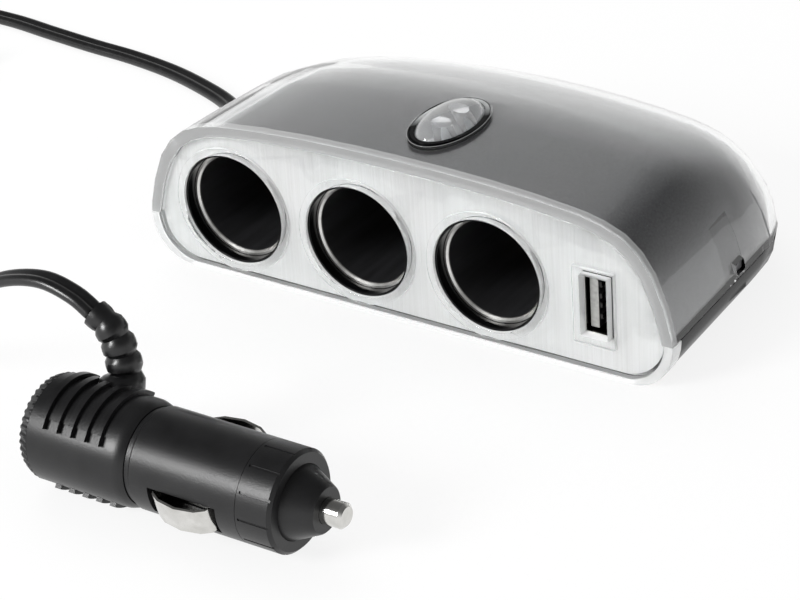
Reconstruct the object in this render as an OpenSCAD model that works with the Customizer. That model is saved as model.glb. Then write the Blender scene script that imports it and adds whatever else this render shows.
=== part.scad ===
// Car power socket splitter: three lighter sockets and a USB outlet in a clear
// domed case, fed by a flat twin lead with a fused plug. Millimetres, Z up.
// The origin is on the ground under the middle of the case, front towards -Y.

/* [Case] */
// Width of the case across its seam
case_w = 124; // [118:1:134]
// Depth of the case, front plane to back
case_d = 74; // [72:1:84]
// Height of the roof at its crown
case_h = 37.4; // [37:0.2:42]
// How much lower the roof is at the front edge
front_drop = 1; // [0.6:0.1:1.4]
// Height of the seam between base and cover
seam_h = 10.4; // [9.6:0.1:11.2]
// Depth at which the roof is highest
crown_d = 30; // [26:1:34]
// How much each side draws in towards the back
side_taper = 3.8; // [2:0.2:5]
// Plan radius of the two rear corners
corner_r = 28.5; // [24:0.5:32]
// Width of the curve from base side to floor
base_curve = 9; // [8:0.2:10]
// Wall of the clear top cover
cover_wall = 2.2; // [1.8:0.1:2.4]
// Gap between clear cover and dark shell
shell_gap = 0.2; // [0.1:0.05:0.3]
// Wall of the dark inner shell
shell_wall = 1.3; // [1:0.1:1.4]
// Wall of the base tray
tray_wall = 2; // [1.6:0.1:2.2]
// Floor of the base tray
tray_floor = 2; // [1.6:0.1:2.2]
// Small gap kept between pieces that seat on each other
seat_gap = 0.1; // [0.05:0.01:0.15]

/* [Front] */
// Thickness of the clear front panel
panel_t = 2; // [1.6:0.1:2.4]
// Thickness of the brushed face plate
plate_t = 0.4; // [0.3:0.1:0.6]
// Margin between case edge and face plate
plate_inset = 2.6; // [2.5:0.1:3.4]
// Depth of the panel's lower rim, front plane to back
rim_d = 3.7; // [3.6:0.1:4.4]
// Wall of the panel's lower rim
rim_wall = 1.5; // [1.2:0.1:2]
// Depth of the tray's front wall
front_wall = 1.8; // [1.4:0.1:2.2]

/* [Sockets] */
// Height of the socket axes
socket_z = 15.9; // [15.7:0.1:16.6]
// Place of the first socket from the middle
socket_x = -40.1; // [-41:0.1:-39.6]
// Distance from one socket to the next
socket_pitch = 30.6; // [30:0.1:31]
// Bore of the metal sleeve
sleeve_bore = 21.5; // [21:0.1:21.8]
// Wall of the metal sleeve
sleeve_wall = 0.4; // [0.3:0.05:0.5]
// Bore of the mouth in front of the sleeve
mouth_bore = 23.4; // [23.2:0.1:23.6]
// Depth of the mouth in front of the sleeve
mouth_d = 2.4; // [2:0.1:2.8]
// Outer diameter of a socket barrel
barrel_w = 24.4; // [24.3:0.1:24.8]
// Depth at which the barrel steps in
step_d = 34.8; // [32:0.2:35.4]
// Bore of the barrel behind the step
tail_bore = 18; // [16:0.2:18.4]
// Outer diameter of the barrel behind the step
tail_w = 20.4; // [20:0.2:20.8]
// Full depth of a barrel
barrel_d = 43.5; // [42:0.5:44]
// Diameter of the flange behind the face plate
flange_w = 28.4; // [27:0.2:29.4]
// Outer diameter of the clear collar round a mouth
collar_w = 27.8; // [27:0.2:28.6]
// How far a mouth's collar stands proud
collar_stand = 0.6; // [0.4:0.1:0.9]

/* [USB outlet] */
// Distance from the case's right side to the outlet's middle
usb_in = 16.6; // [16:0.1:17]
// Height of the outlet's middle
usb_z = 15.3; // [15:0.1:16]
// Width of the metal shell, along Z
usb_w = 13.1; // [13:0.1:13.2]
// Thickness of the metal shell, along X
usb_t = 5.72; // [5.6:0.02:5.8]
// Wall of the metal shell
usb_wall = 0.3; // [0.25:0.05:0.35]
// Length of the metal shell
usb_len = 13.8; // [12:0.2:15]
// How far the shell's mouth lies behind the front plane
usb_back = 0.6; // [0.3:0.1:1]
// How far the outlet's collar stands proud
usb_stand = 1; // [0.8:0.1:1.4]
// Wall of the outlet's collar
usb_collar = 1.6; // [1.2:0.1:2]
// Thickness of the tongue
tongue_t = 1.84; // [1.7:0.02:1.9]

/* [Lamp] */
// Place of the lamp from the middle
lamp_x = 2; // [0:0.5:4]
// Depth of the lamp's middle from the front plane
lamp_y = 18.5; // [18:0.5:20]
// Width of the lamp opening in the cover
lamp_w = 13.4; // [12:0.2:14]
// Length of the lamp opening in the cover
lamp_l = 22.2; // [20:0.2:23]
// Rise of the lens above the roof crown
lens_rise = 2.6; // [1.5:0.1:3.5]
// Wall of the lamp's dark bezel
bezel_wall = 1.1; // [0.8:0.1:1.4]
// Diameter of an indicator lamp
led_w = 3; // [2.8:0.1:3.2]

/* [Plug] */
// Full length of the plug
plug_len = 67; // [66:0.5:69]
// Length of the hand grip
grip_len = 24.7; // [24:0.1:25]
// Diameter of the hand grip
grip_w = 20.6; // [20.4:0.1:21.4]
// Height of the grip ribs
rib_h = 0.8; // [0.5:0.1:0.9]
// Number of grip ribs
rib_count = 5; // [3:1:5]
// Diameter of the barrel that enters a socket
plug_w = 19.6; // [19.4:0.1:20]
// Length of the barrel
plug_barrel_len = 25; // [24.8:0.1:26]
// Length of the retaining ring
ring_len = 7.5; // [7.2:0.1:8]
// Length of the nose cone beyond the ring
cone_len = 5.5; // [5:0.1:6]
// Diameter of the tip pin
tip_w = 4.9; // [4.6:0.1:5]
// Travel of the tip pin
tip_travel = 2.3; // [2:0.1:2.4]
// Travel of a side contact
side_travel = 1.3; // [1:0.1:1.4]
// Running clearance of turning and sliding pieces
run_gap = 0.06; // [0.03:0.01:0.09]

/* [Cord] */
// Width of the flat twin cord
cord_w = 4.6; // [4.2:0.1:4.8]
// Thickness of the flat twin cord
cord_t = 2.3; // [2:0.1:2.4]
// Turns in the stored coil
coil_turns = 4.25; // [2.25:1:4.25]
// Radius of the coil's outer turn
coil_r = 29; // [29:0.5:30]
// Gap between neighbouring turns
coil_gap = 0.5; // [0.45:0.01:0.6]

/* [Hidden] */
// Cuts run past the faces they open by this much
over = 1;
// Facets of a full circle
$fn = 64;

// The case
half_case = case_w / 2;
front_h = case_h - front_drop;
front_y = -(case_d - usb_stand) / 2;
stations = 14;
plan_power = 1.6;
fall_power = 1.1;
drop_power = 2.57;
round_share = 0.53;
// Half outline of the front from crown to seam, as shares of half width and rise
front_shares = [[0, 1], [0.17, 0.996], [0.342, 0.984], [0.532, 0.955], [0.685, 0.915],
    [0.758, 0.876], [0.831, 0.806], [0.887, 0.694], [0.932, 0.539], [0.971, 0.302],
    [0.994, 0.089], [1, 0]];
shell_out = cover_wall + shell_gap;
shell_in = shell_out + shell_wall;
tray_y = rim_d + seat_gap;
tray_top = seam_h - 1.5 * seat_gap;

// The sockets
socket_xs = [for (i = [0:2]) socket_x + i * socket_pitch];
barrel_r = barrel_w / 2;
sleeve_r = sleeve_bore / 2 + sleeve_wall;
lip_t = 0.4;
lip_r = mouth_bore / 2 - seat_gap;
plate_y = panel_t + seat_gap;
flange_y = plate_y + plate_t;
flange_t = rim_d - flange_y;
insulator_t = 2;
insulator_back = 3.5;
insulator_y = barrel_d - insulator_back;
rear_wall_t = 1.5;
rivet_r = 1.5;
rivet_hole_r = rivet_r + seat_gap / 2;
rear_hole_r = 4.5;
bus_t = 0.6;
bus_w = 6;
bus_end = 5;
contact_r = 3.4;
contact_h = 2.2;
rivet_head_r = 2.4;
rivet_head_t = 0.7;
tab_w = 3;
tab_y = 26;
slot_gap = 0.4;

// The USB outlet and its board
usb_x = half_case - usb_in;
usb_window_gap = 0.15;
tongue_w = 11.1;
tongue_back = 0.9;
tongue_shift = 1.05;
usb_block_t = 1.6;
pin_w = 1;
pin_t = 0.2;
pin_spacings = [-3.5, -1, 1, 3.5];
board_t = 1.2;
board_x = usb_x + usb_t / 2 + seat_gap;
board_y0 = tray_y + front_wall + 2 * seat_gap;
board_len = 36;
board_z0 = tray_floor + seat_gap;
board_h = 19.7;
rail_t = 1;
rail_h = 3;
rail_len = 16;
rail_y = 20;
coil_core_r = 4.2;
coil_core_h = 5;
cap_r = 3.15;
cap_h = 7;
chip_size = [1.6, 5, 4];
board_row_y = 22;
board_next_y = 31.5;
board_low_z = 9.6;
board_high_z = 17.4;

// The lamp
bezel_drop = 0.3;
lens_gap = 0.1;
dome_drop = 1;
led_h = 4.6;
led_spread = 6;
led_board_size = [10, 24, 1];
peg_y = 10.7;
led_board_drop = 6.2;
led_board_z = case_h - led_board_drop;
lamp_floor = led_board_z + led_board_size[2] + seat_gap;
peg_r = 1.2;

// Screws and their posts
screw_r = 1.3;
screw_head_r = 2.6;
screw_head_t = 1.6;
screw_sink = 2.8;
screw_len = 13;
post_r = 4;
post_top = 8;
shell_post_r = 2.4;
front_screw_y = 14;
side_screw_in = 25;
side_screw_x = half_case - side_screw_in;
rear_screw_back = 16;
rear_screw_y = case_d - rear_screw_back;
screw_places = [[socket_xs[0] + socket_pitch / 2, front_screw_y], [side_screw_x, front_screw_y],
    [-side_screw_x, rear_screw_y], [side_screw_x, rear_screw_y]];

// The latches in both side walls
latch_y = 26.3;
latch_w = 7.6;
latch_top = 20.6;
latch_t = 1.2;
latch_root = 4;
window_y = 29.4;
window_w = 3.6;
window_z = seam_h + 0.6;
window_h = 2.2;

// The lead's grommet
lead_y = 50;
lead_z = 5.8;
grommet_x = 66;
grommet_in = 51.8;
grommet_r = 3;
grommet_end_r = 2.7;
grommet_collar_r = 3.6;
grommet_collar_x = 58.7;
grommet_flange_r = 3.4;
grommet_flange_t = 1.2;
wire_r = 0.95;

// The plug, measured along its axis from the back of its grip
plug_x = -27;
plug_y = -114;
plug_z = grip_w / 2 + rib_h + 0.1;
cap_len = 3;
cap_chamfer = 2.4;
cap_boss = 4;
grip_bore_r = 7.9;
grip_round = 2;
tenon_len = 5.7;
rib_w = 1.35;
rib_start = 5.6;
rib_pitch = 3.2;
rib_angle = 44;
rib_low_angle = 232;
rib_sweep = 104;
rib_low_sweep = 76;
rib_foot_sweep = 10;
rib_foot_w = 1.8;
rib_foot_h = 0.3;
neck_r = 8.2;
neck_len = 4.3;
barrel_groove = 0.6;
barrel_groove_w = 1;
plug_shoulder = grip_len + plug_barrel_len;
ring_lip = 1.3;
ring_start = plug_shoulder + seat_gap;
ring_end = plug_shoulder + ring_len;
ring_grooves = 12;
groove_w = 0.5;
nose_flange_r = neck_r - 0.1;
nose_back = plug_shoulder + neck_len + seat_gap;
nose_flange_t = ring_end - ring_lip - seat_gap - nose_back;
cone_r = 7.1;
cone_end_r = 4.6;
nose_end = ring_end + cone_len;
nose_bore_r = 3.7;
nose_stop = 2.2;
nose_contact_t = 0.5;
tip_flange_r = nose_bore_r - 0.2;
tip_flange_t = 1.5;
tip_tail_r = 1.8;
tip_tail = 1.4;
tip_flange_end = nose_end - nose_stop - seat_gap;
tip_back = tip_flange_end - tip_flange_t;
spring_r = 2.6;
spring_wire_r = 0.3;
spring_turns = 3;
fuse_r = 3.1;
fuse_len = 30;
fuse_cap_len = 6;
fuse_bore_r = 3.35;
fuse_end = nose_back - seat_gap;
side_start = 30.7;
side_len = 14.4;
side_w = 5.6;
side_t = 0.5;
side_angle = 15;
side_rise = 4.9;
side_base_r = plug_w / 2 - 2.9;
// Bowed leaf of a side contact, as shares of its length and rise
side_shares = [[0, 0], [0.09, 0.62], [0.22, 0.86], [0.5, 1], [0.78, 0.86], [0.91, 0.62], [1, 0]];
pocket_r = 5;
pocket_gap = 0.3;
leg_t = 0.5;
leg_gap = 0.05;
boot_angle = 45;
boot_s = 12.6;
boot_r = 4.8;
boot_steps = 4;
// Radius along the strain relief, as shares of its root: collar, three segments, end block
boot_shares = [1, 0.97, 0.91, 0.84, 0.78, 0.6, 0.72, 0.73, 0.71, 0.58, 0.7, 0.7, 0.68, 0.56, 0.66,
    0.66, 0.64, 0.53, 0.58, 0.59, 0.58];

// The cord's route, chosen by hand: grommet to coil, and coil to plug boot
lead_route = [[-66, 13.5, 5.8], [-71.5, 13.6, 5.6], [-77.5, 16.8, 3.8], [-83, 22, 1.9],
    [-89.5, 27.2, 1.2], [-98, 31, 1.2], [-111, 35.1, 1.2], [-125, 37.5, 1.2],
    [-138, 38.5, 1.2], [-152, 40, 1.2], [-166, 41.6, 1.2], [-180, 41, 1.2], [-192.5, 35.5, 1.2],
    [-200.5, 25, 1.2], [-204.4, 12.5, 1.45], [-205, 1, 1.7], [-205, -7.4, 1.75]];
tail_route = [[-171.4, -41, 4.55], [-165.5, -41.3, 4.3], [-158, -43.8, 2.9], [-150.5, -49.1, 1.6],
    [-143, -57.2, 1.2], [-135, -66.1, 1.2], [-126.5, -75, 1.2], [-117.5, -82.9, 1.2],
    [-108, -89.3, 1.2], [-98, -94.4, 1.5], [-88.5, -98.2, 3.3], [-80, -100.9, 6.9],
    [-72, -102.9, 12], [-64, -104, 18.2], [-56, -104.5, 24.6], [-48, -104.6, 30.2],
    [-40, -104.6, 34], [-32, -104.6, 35.6], [-25.2, -104.6, 34.2], [-20.7, -104.6, 31.6]];
boot_route = [[-14.4, -107.9, 17.3], [-14.5, -105.2, 20], [-15.2, -104.7, 23.5],
    [-16.1, -104.6, 26.9], [-17.8, -104.6, 29.7], [-20.7, -104.6, 31.6]];
// The supply wires inside the case, with Y measured from the front plane
plus_route = [[-51.6, 50, 6.9], [-50, 50, 7], [-47.8, 49.6, 9.6], [-45.8, 48.4, 13.4],
    [-45, 46.4, 15.6], [-45, 44.3, 15.9]];
minus_route = [[-51.6, 50, 4.7], [-50, 50, 4.5], [-48.6, 47, 3.9], [-50, 42, 3.4], [-53.2, 36, 3.2],
    [-53.8, 30.5, 3.1], [-50.5, 26.6, 3.1], [-47.2, 26, 3.1], [-45.2, 26, 3.1]];
coil_place = [-176, -12];
coil_low = 1.75;
coil_high = coil_low + cord_t + coil_gap;
coil_rings = 24;
coil_start_angle = 180;
tie_t = 0.5;
tie_w = 6;
tie_angle = 60;

// Half width at the seam, at depth y and with the wall taken in by g
function half_w(y, g) =
    let (t = min(1, max(0, (y - case_d + corner_r) / (corner_r - g))))
    half_case - g - side_taper * y / case_d
        - (corner_r - g) * (1 - pow(1 - pow(t, plan_power), 1 / plan_power));

// Height of the roof's middle, at depth y and with the wall taken in by g
function roof_h(y, g) =
    y < crown_d ? case_h - g - (case_h - front_h) * pow(1 - y / crown_d, 2)
    : seam_h + (case_h - g - seam_h)
        * pow(max(0, 1 - pow((y - crown_d) / (case_d - g - crown_d), fall_power)), 1 / drop_power);

// The section's outline grows rounder towards the back
function section_share(p, y) =
    let (s = round_share * y / case_d) (1 - s) * p + s * p / norm(p);

// Section of the dome from right seam over the crown to left seam
function section(y, g) =
    let (n = len(front_shares), w = half_w(y, g), rise = roof_h(y, g) - seam_h)
    [for (i = [1 - n:n - 1])
        let (p = section_share(front_shares[abs(i)], y))
        [-sign(i) * w * p[0], y, seam_h + rise * p[1]]];

// Depths of the sections, closer together towards the back
function depths(y0, g) = [for (i = [0:stations]) y0 + (case_d - g - y0) * sin(90 * i / stations)];

function flat_list(lists) = [for (l = lists) each l];

// Two triangles of a grid cell, turned the other way when flip is set
function cell(a, b, c, d, flip) = flip ? [[a, c, b], [a, d, c]] : [[a, b, c], [a, c, d]];

function grid_faces(rows, cols, first, flip) =
    [for (i = [0:rows - 2], j = [0:cols - 2])
        let (a = first + i * cols + j)
        each cell(a, a + 1, a + cols + 1, a + cols, flip)];

// Indices along a dome's rim at the seam: right side, back, left side
function rim_indices(rows, cols, first) = concat(
    [for (i = [0:rows - 1]) first + i * cols],
    [for (j = [1:cols - 2]) first + (rows - 1) * cols + j],
    [for (i = [rows - 1:-1:0]) first + i * cols + cols - 1]);

function strip_faces(one, two, flip) =
    [for (i = [0:len(one) - 2]) each cell(one[i], one[i + 1], two[i + 1], two[i], flip)];

// A domed shell between two offsets of the case's outer form
module dome_shell(y0, g_out, g_in) {
    cols = 2 * len(front_shares) - 1;
    rows = stations + 1;
    outer = flat_list([for (y = depths(y0, g_out)) section(y, g_out)]);
    inner = flat_list([for (y = depths(y0, g_in)) section(y, g_in)]);
    second = rows * cols;
    front = [for (j = [0:cols - 1]) j];
    polyhedron(concat(outer, inner), concat(
        grid_faces(rows, cols, 0, false),
        grid_faces(rows, cols, second, true),
        strip_faces(rim_indices(rows, cols, 0), rim_indices(rows, cols, second), true),
        strip_faces(front, [for (j = front) j + second], false)));
}

// Inset of the base's side and its height, at angle a down from the seam
function base_inset(a) = base_curve * (1 - cos(a));
function base_z(a) = seam_h * (1 - sin(a));

// Plan outline of the base, taken in by e, from front right round to front left
function base_loop(y0, e, z) =
    let (ys = [for (i = [0:stations]) y0 + (case_d - y0) * sin(90 * i / stations)])
    concat([for (y = ys) [half_w(y, 0) - e, max(y0, y - e * y / case_d), z]],
        [for (i = [stations:-1:0])
            [e - half_w(ys[i], 0), max(y0, ys[i] - e * ys[i] / case_d), z]]);

// A solid of stacked loops, lowest first
module stack(loops) {
    n = len(loops[0]);
    levels = len(loops);
    polyhedron(flat_list(loops), concat(
        [[for (i = [0:n - 1]) i]],
        [for (k = [0:levels - 2], i = [0:n - 1])
            let (a = k * n + i, b = k * n + (i + 1) % n)
            each [[a, b + n, b], [a, a + n, b + n]]],
        [[for (i = [n - 1:-1:0]) (levels - 1) * n + i]]));
}

// Moves a piece of the case from the front plane's frame to the part's frame
module in_case() {
    translate([0, front_y, 0]) children();
}

// Turns a flat outline in X and Z into a slab, from depth y back by t
module slab(y, t) {
    translate([0, y + t, 0]) rotate([90, 0, 0]) linear_extrude(t) children();
}

// Turns a revolved profile so that its axis runs back from the front plane
module at_socket(x) {
    translate([x, 0, socket_z]) rotate([-90, 0, 0]) children();
}

// Lower half of the front outline, right seam to left seam
function lower_outline(g, floor_z) =
    let (n = 8, c = base_curve)
    concat([for (i = [0:n]) let (a = 90 * i / n)
            [half_case - g - c + c * cos(a), tray_top - (tray_top - floor_z) * sin(a)]],
        [for (i = [n:-1:0]) let (a = 90 * i / n)
            [g + c - half_case - c * cos(a), tray_top - (tray_top - floor_z) * sin(a)]]);

// Upper half of the front outline, left seam to right seam
function upper_outline(g) =
    let (s = section(0, g), n = len(s)) [for (i = [n - 1:-1:0]) [s[i][0], s[i][2]]];

// Points of an oval
function oval(w, l) = [for (i = [0:47]) [w / 2 * cos(7.5 * i), l / 2 * sin(7.5 * i)]];

module usb_window(gap) {
    translate([usb_x, usb_z]) square([usb_t + 2 * gap, usb_w + 2 * gap], center = true);
}

// Case pieces

module tray_body() {
    angles = [for (i = [6:-1:0]) 15 * i];
    floor_angle = asin(1 - tray_floor / seam_h);
    inner_y = tray_y + front_wall;
    difference() {
        stack([for (a = angles) base_loop(tray_y, base_inset(a), a == 0 ? tray_top : base_z(a))]);
        stack(concat([for (i = [5:-1:0]) let (a = floor_angle * i / 5)
                base_loop(inner_y, base_inset(a) + tray_wall, base_z(a))],
            [base_loop(inner_y, tray_wall, seam_h + over)]));
    }
}

// Distance of the dome's side from the middle at height z
function side_x(z, y, g) =
    lookup(z, [for (p = section(y, g)) if (p[0] > 0 && p[2] < case_h - g - over) [p[2], p[0]]]);

// Height of the roof over a place in plan
function roof_at(x, y, g) = lookup(x, [for (p = section(y, g)) [p[0], p[2]]]);

module latch_arm() {
    y = latch_y + latch_w;
    zs = [for (i = [0:5]) seam_h + (latch_top - seam_h) * i / 5];
    root = half_w(y, shell_out) - latch_t;
    slab(latch_y, latch_w) polygon(concat(
        [[root, seam_h - latch_root], [root + latch_t, seam_h - latch_root]],
        [for (z = zs) [side_x(z, y, shell_out), z]],
        [for (i = [5:-1:0]) [side_x(zs[i], y, shell_out + latch_t), zs[i]]]));
    translate([root, latch_y, seam_h - latch_root])
        cube([latch_t + tray_wall, latch_w, latch_root - 4 * seat_gap]);
    translate([root + latch_t / 2, window_y + shell_gap, window_z + shell_gap])
        cube([cover_wall, window_w - 2 * shell_gap, window_h - 2 * shell_gap]);
}

module base_tray() {
    color("#141414") in_case() difference() {
        union() {
            tray_body();
            translate([socket_xs[0] - barrel_r, step_d - 3 * rear_wall_t, 1])
                cube([2 * socket_pitch + 2 * barrel_r, rear_wall_t, post_top]);
            for (p = screw_places) translate([p[0], p[1], tray_floor / 2])
                cylinder(r = post_r, h = post_top - tray_floor / 2);
            for (x = [board_x - rail_t - seat_gap, board_x + board_t + seat_gap])
                translate([x, rail_y, tray_floor / 2]) cube([rail_t, rail_len, rail_h + tray_floor / 2]);
            latch_arm();
            mirror([1, 0, 0]) latch_arm();
        }
        for (x = socket_xs) at_socket(x) cylinder(r = barrel_r + seat_gap, h = barrel_d);
        for (p = screw_places) translate([p[0], p[1], -over]) {
            cylinder(r = screw_r + seat_gap, h = post_top + 2 * over);
            cylinder(r = screw_head_r + 2 * seat_gap, h = screw_sink + over);
        }
        slab(tray_y - over, front_wall + 2 * over) usb_window(usb_window_gap);
        translate([-grommet_x, lead_y, lead_z]) rotate([0, 90, 0]) {
            cylinder(r = grommet_r + seat_gap, h = grommet_x - grommet_in);
            cylinder(r = grommet_collar_r + seat_gap, h = grommet_x - grommet_collar_x + seat_gap);
            translate([0, 0, grommet_x - grommet_in - grommet_flange_t - seat_gap])
                cylinder(r = grommet_flange_r + seat_gap, h = 3 * grommet_flange_t);
        }
    }
}

module top_cover() {
    color("#c4c8ca", 0.4) in_case() difference() {
        dome_shell(0, 0, cover_wall);
        translate([lamp_x, lamp_y, case_h - cover_wall - 2 * over])
            linear_extrude(cover_wall + 4 * over) polygon(oval(lamp_w, lamp_l));
        for (side = [-1, 1])
            translate([side * half_w(window_y, 0), window_y + window_w / 2, window_z + window_h / 2])
                cube([4 * cover_wall, window_w, window_h], center = true);
    }
}

// Height at which a post ends inside the shell's wall
function post_roof(x, y, r) =
    roof_at(abs(x) + 3 * r / 4, y + 3 * r / 4, (shell_out + shell_in) / 2);

module inner_shell() {
    color("#3c3e40") in_case() difference() {
        union() {
            dome_shell(tray_y, shell_out, shell_in);
            for (p = screw_places) translate([p[0], p[1], post_top + seat_gap])
                cylinder(r = shell_post_r, h = post_roof(p[0], p[1], shell_post_r) - post_top - seat_gap);
            for (sx = [-1, 1], sy = [-1, 1])
                let (x = lamp_x + sx * (led_board_size[0] / 2 - peg_r), y = lamp_y + sy * peg_y)
                translate([x, y, lamp_floor]) cylinder(r = peg_r, h = post_roof(x, y, peg_r) - lamp_floor);
        }
        translate([lamp_x, lamp_y, case_h - shell_in - 2 * over])
            linear_extrude(shell_in + over) polygon(oval(lamp_w - 2 * seat_gap, lamp_l - 2 * seat_gap));
        for (p = screw_places) translate([p[0], p[1], 0])
            cylinder(r = screw_r + seat_gap / 4, h = screw_sink + screw_len + over);
        for (side = [-1, 1])
            translate([side * half_case, latch_y + latch_w / 2, (seam_h + latch_top) / 2])
                cube([6 * latch_root, latch_w + 2 * shell_gap, latch_top - seam_h + 2 * shell_gap + over],
                    center = true);
    }
}

module front_panel() {
    color("#dfe3e5", 0.35) in_case() difference() {
        union() {
            slab(0, panel_t) polygon(concat(lower_outline(0, 0), upper_outline(cover_wall + seat_gap)));
            slab(panel_t - seat_gap, rim_d - panel_t + seat_gap) difference() {
                polygon(lower_outline(0, 0));
                polygon([for (p = lower_outline(rim_wall, rim_wall))
                    [p[0], p[1] == tray_top ? seam_h : p[1]]]);
            }
            for (x = socket_xs) at_socket(x) translate([0, 0, -collar_stand])
                cylinder(d = collar_w, h = collar_stand + panel_t / 2);
            slab(-usb_stand, usb_stand + panel_t / 2) usb_window(usb_window_gap + usb_collar);
        }
        for (x = socket_xs) at_socket(x) translate([0, 0, -over])
            cylinder(r = barrel_r + seat_gap / 2, h = panel_t + 2 * over);
        slab(-usb_stand - over, panel_t + usb_stand + 2 * over) usb_window(usb_window_gap);
    }
}

module face_plate() {
    color("#e4e4e2") in_case() difference() {
        slab(plate_y, plate_t)
            polygon(concat(lower_outline(plate_inset, rim_wall), upper_outline(plate_inset)));
        for (x = socket_xs) at_socket(x) cylinder(r = barrel_r + seat_gap, h = flange_y + over);
        slab(plate_y - over, plate_t + 2 * over) usb_window(2 * usb_window_gap);
    }
}

// Sockets

module socket_barrel(i) {
    tail_r = tail_w / 2;
    color("#101010") in_case() difference() {
        at_socket(socket_xs[i]) rotate_extrude() polygon([
            [mouth_bore / 2, 0], [barrel_r, 0], [barrel_r, flange_y], [flange_w / 2, flange_y],
            [flange_w / 2, flange_y + flange_t], [barrel_r, flange_y + flange_t],
            [barrel_r, step_d + seat_gap], [tail_r, step_d + barrel_r - tail_r], [tail_r, barrel_d],
            [rear_hole_r, barrel_d], [rear_hole_r, barrel_d - rear_wall_t],
            [tail_bore / 2, barrel_d - rear_wall_t], [tail_bore / 2, step_d],
            [sleeve_r + seat_gap / 2, step_d], [sleeve_r + seat_gap / 2, mouth_d + lip_t],
            [mouth_bore / 2, mouth_d + lip_t]]);
        translate([socket_xs[i], tab_y, 0])
            cube([tab_w + 2 * slot_gap, tab_w + 2 * slot_gap, 2 * (socket_z - sleeve_r)], center = true);
    }
}

module socket_sleeve(i) {
    bore_r = sleeve_bore / 2;
    color("#b9bcbe") in_case() at_socket(socket_xs[i]) rotate_extrude() polygon([
        [bore_r, mouth_d + lip_t], [bore_r + lip_t, mouth_d], [lip_r, mouth_d], [lip_r, mouth_d + lip_t],
        [sleeve_r, mouth_d + lip_t], [sleeve_r, step_d - seat_gap], [bore_r, step_d - seat_gap]]);
}

module socket_insulator(i) {
    color("#6b4a2e") in_case() at_socket(socket_xs[i]) difference() {
        translate([0, 0, insulator_y]) cylinder(d = tail_bore - seat_gap, h = insulator_t);
        cylinder(r = rivet_hole_r, h = barrel_d);
    }
}

module centre_contact(i) {
    top = insulator_y - contact_h;
    end = barrel_d + seat_gap + bus_t + seat_gap / 2;
    color("#b08d46") in_case() at_socket(socket_xs[i]) rotate_extrude() polygon([
        [0, top], [contact_r / 2, top], [contact_r, top + contact_h / 2],
        [contact_r, insulator_y - seat_gap / 2],
        [rivet_r, insulator_y - seat_gap / 2], [rivet_r, end], [rivet_head_r, end],
        [rivet_head_r, end + rivet_head_t / 2], [rivet_r, end + rivet_head_t], [0, end + rivet_head_t]]);
}

module positive_busbar() {
    color("#b5803e") in_case() difference() {
        translate([socket_xs[0] - bus_end - bus_w / 2, barrel_d + seat_gap, socket_z - bus_w / 2])
            cube([2 * socket_pitch + 2 * bus_end + bus_w / 2, bus_t, bus_w]);
        for (x = socket_xs) at_socket(x) cylinder(r = rivet_hole_r, h = barrel_d + 4 * bus_t);
    }
}

module negative_busbar() {
    color("#b5803e") in_case() {
        translate([socket_xs[0] - bus_end, tab_y - bus_w / 2, tray_floor + seat_gap])
            cube([2 * socket_pitch + 2 * bus_end, bus_w, bus_t]);
        for (x = socket_xs) translate([x - tab_w / 2, tab_y - tab_w / 2, tray_floor + seat_gap])
            cube([tab_w, tab_w, socket_z - sleeve_r - tray_floor - 2 * seat_gap]);
    }
}

// USB outlet and circuit board

module usb_shell() {
    color("#c9ccce") in_case() difference() {
        slab(usb_back, usb_len) translate([usb_x, usb_z]) square([usb_t, usb_w], center = true);
        slab(usb_back - over, usb_len + over - usb_wall)
            translate([usb_x, usb_z]) square([usb_t - 2 * usb_wall, usb_w - 2 * usb_wall], center = true);
    }
}

module usb_tongue() {
    back = usb_back + usb_len - usb_wall - seat_gap;
    room = usb_t - 2 * usb_wall - 2 * seat_gap;
    color("#ececea") in_case() {
        slab(usb_back + tongue_back, back - usb_back - tongue_back)
            translate([usb_x - tongue_shift, usb_z]) square([tongue_t, tongue_w], center = true);
        slab(back - usb_block_t, usb_block_t)
            translate([usb_x, usb_z]) square([room, tongue_w], center = true);
    }
}

module usb_contacts() {
    back = usb_back + usb_len - usb_wall - seat_gap - usb_block_t;
    front = usb_back + 2 * tongue_back;
    color("#c8a24a") in_case() for (z = pin_spacings)
        translate([usb_x - tongue_shift + tongue_t / 2, front, usb_z + z - pin_w / 2])
            cube([pin_t, back - front, pin_w]);
}

module circuit_board() {
    color("#1f5a34") in_case() translate([board_x, board_y0, board_z0]) cube([board_t, board_len, board_h]);
}

// Something round that stands on the board's face, pointing to the sockets
module on_board(y, z) {
    translate([board_x, y, z]) rotate([0, -90, 0]) children();
}

module inductor() {
    color("#2c2c2c") in_case() on_board(board_row_y, board_low_z) rotate_extrude() polygon([
        [0, 0], [coil_core_r, 0], [coil_core_r, coil_core_h / 5], [coil_core_r * 0.8, coil_core_h / 4],
        [coil_core_r * 0.8, coil_core_h * 3 / 4], [coil_core_r, coil_core_h * 4 / 5],
        [coil_core_r, coil_core_h], [0, coil_core_h]]);
}

module capacitors() {
    color("#2a3a6a") in_case() for (y = [board_row_y, board_next_y])
        on_board(y, board_high_z) cylinder(r = cap_r, h = cap_h);
}

module regulator_chip() {
    color("#1b1b1b") in_case() translate([board_x - chip_size[0], board_next_y - chip_size[1] / 2,
        board_low_z - chip_size[2] / 2]) cube(chip_size);
}

// Lamp in the roof

module lens_bezel() {
    color("#161616") in_case() translate([lamp_x, lamp_y, lamp_floor])
        linear_extrude(case_h - bezel_drop - lamp_floor) difference() {
            polygon(oval(lamp_w - 4 * seat_gap, lamp_l - 4 * seat_gap));
            polygon(oval(lamp_w - 2 * bezel_wall, lamp_l - 2 * bezel_wall));
        }
}

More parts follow.
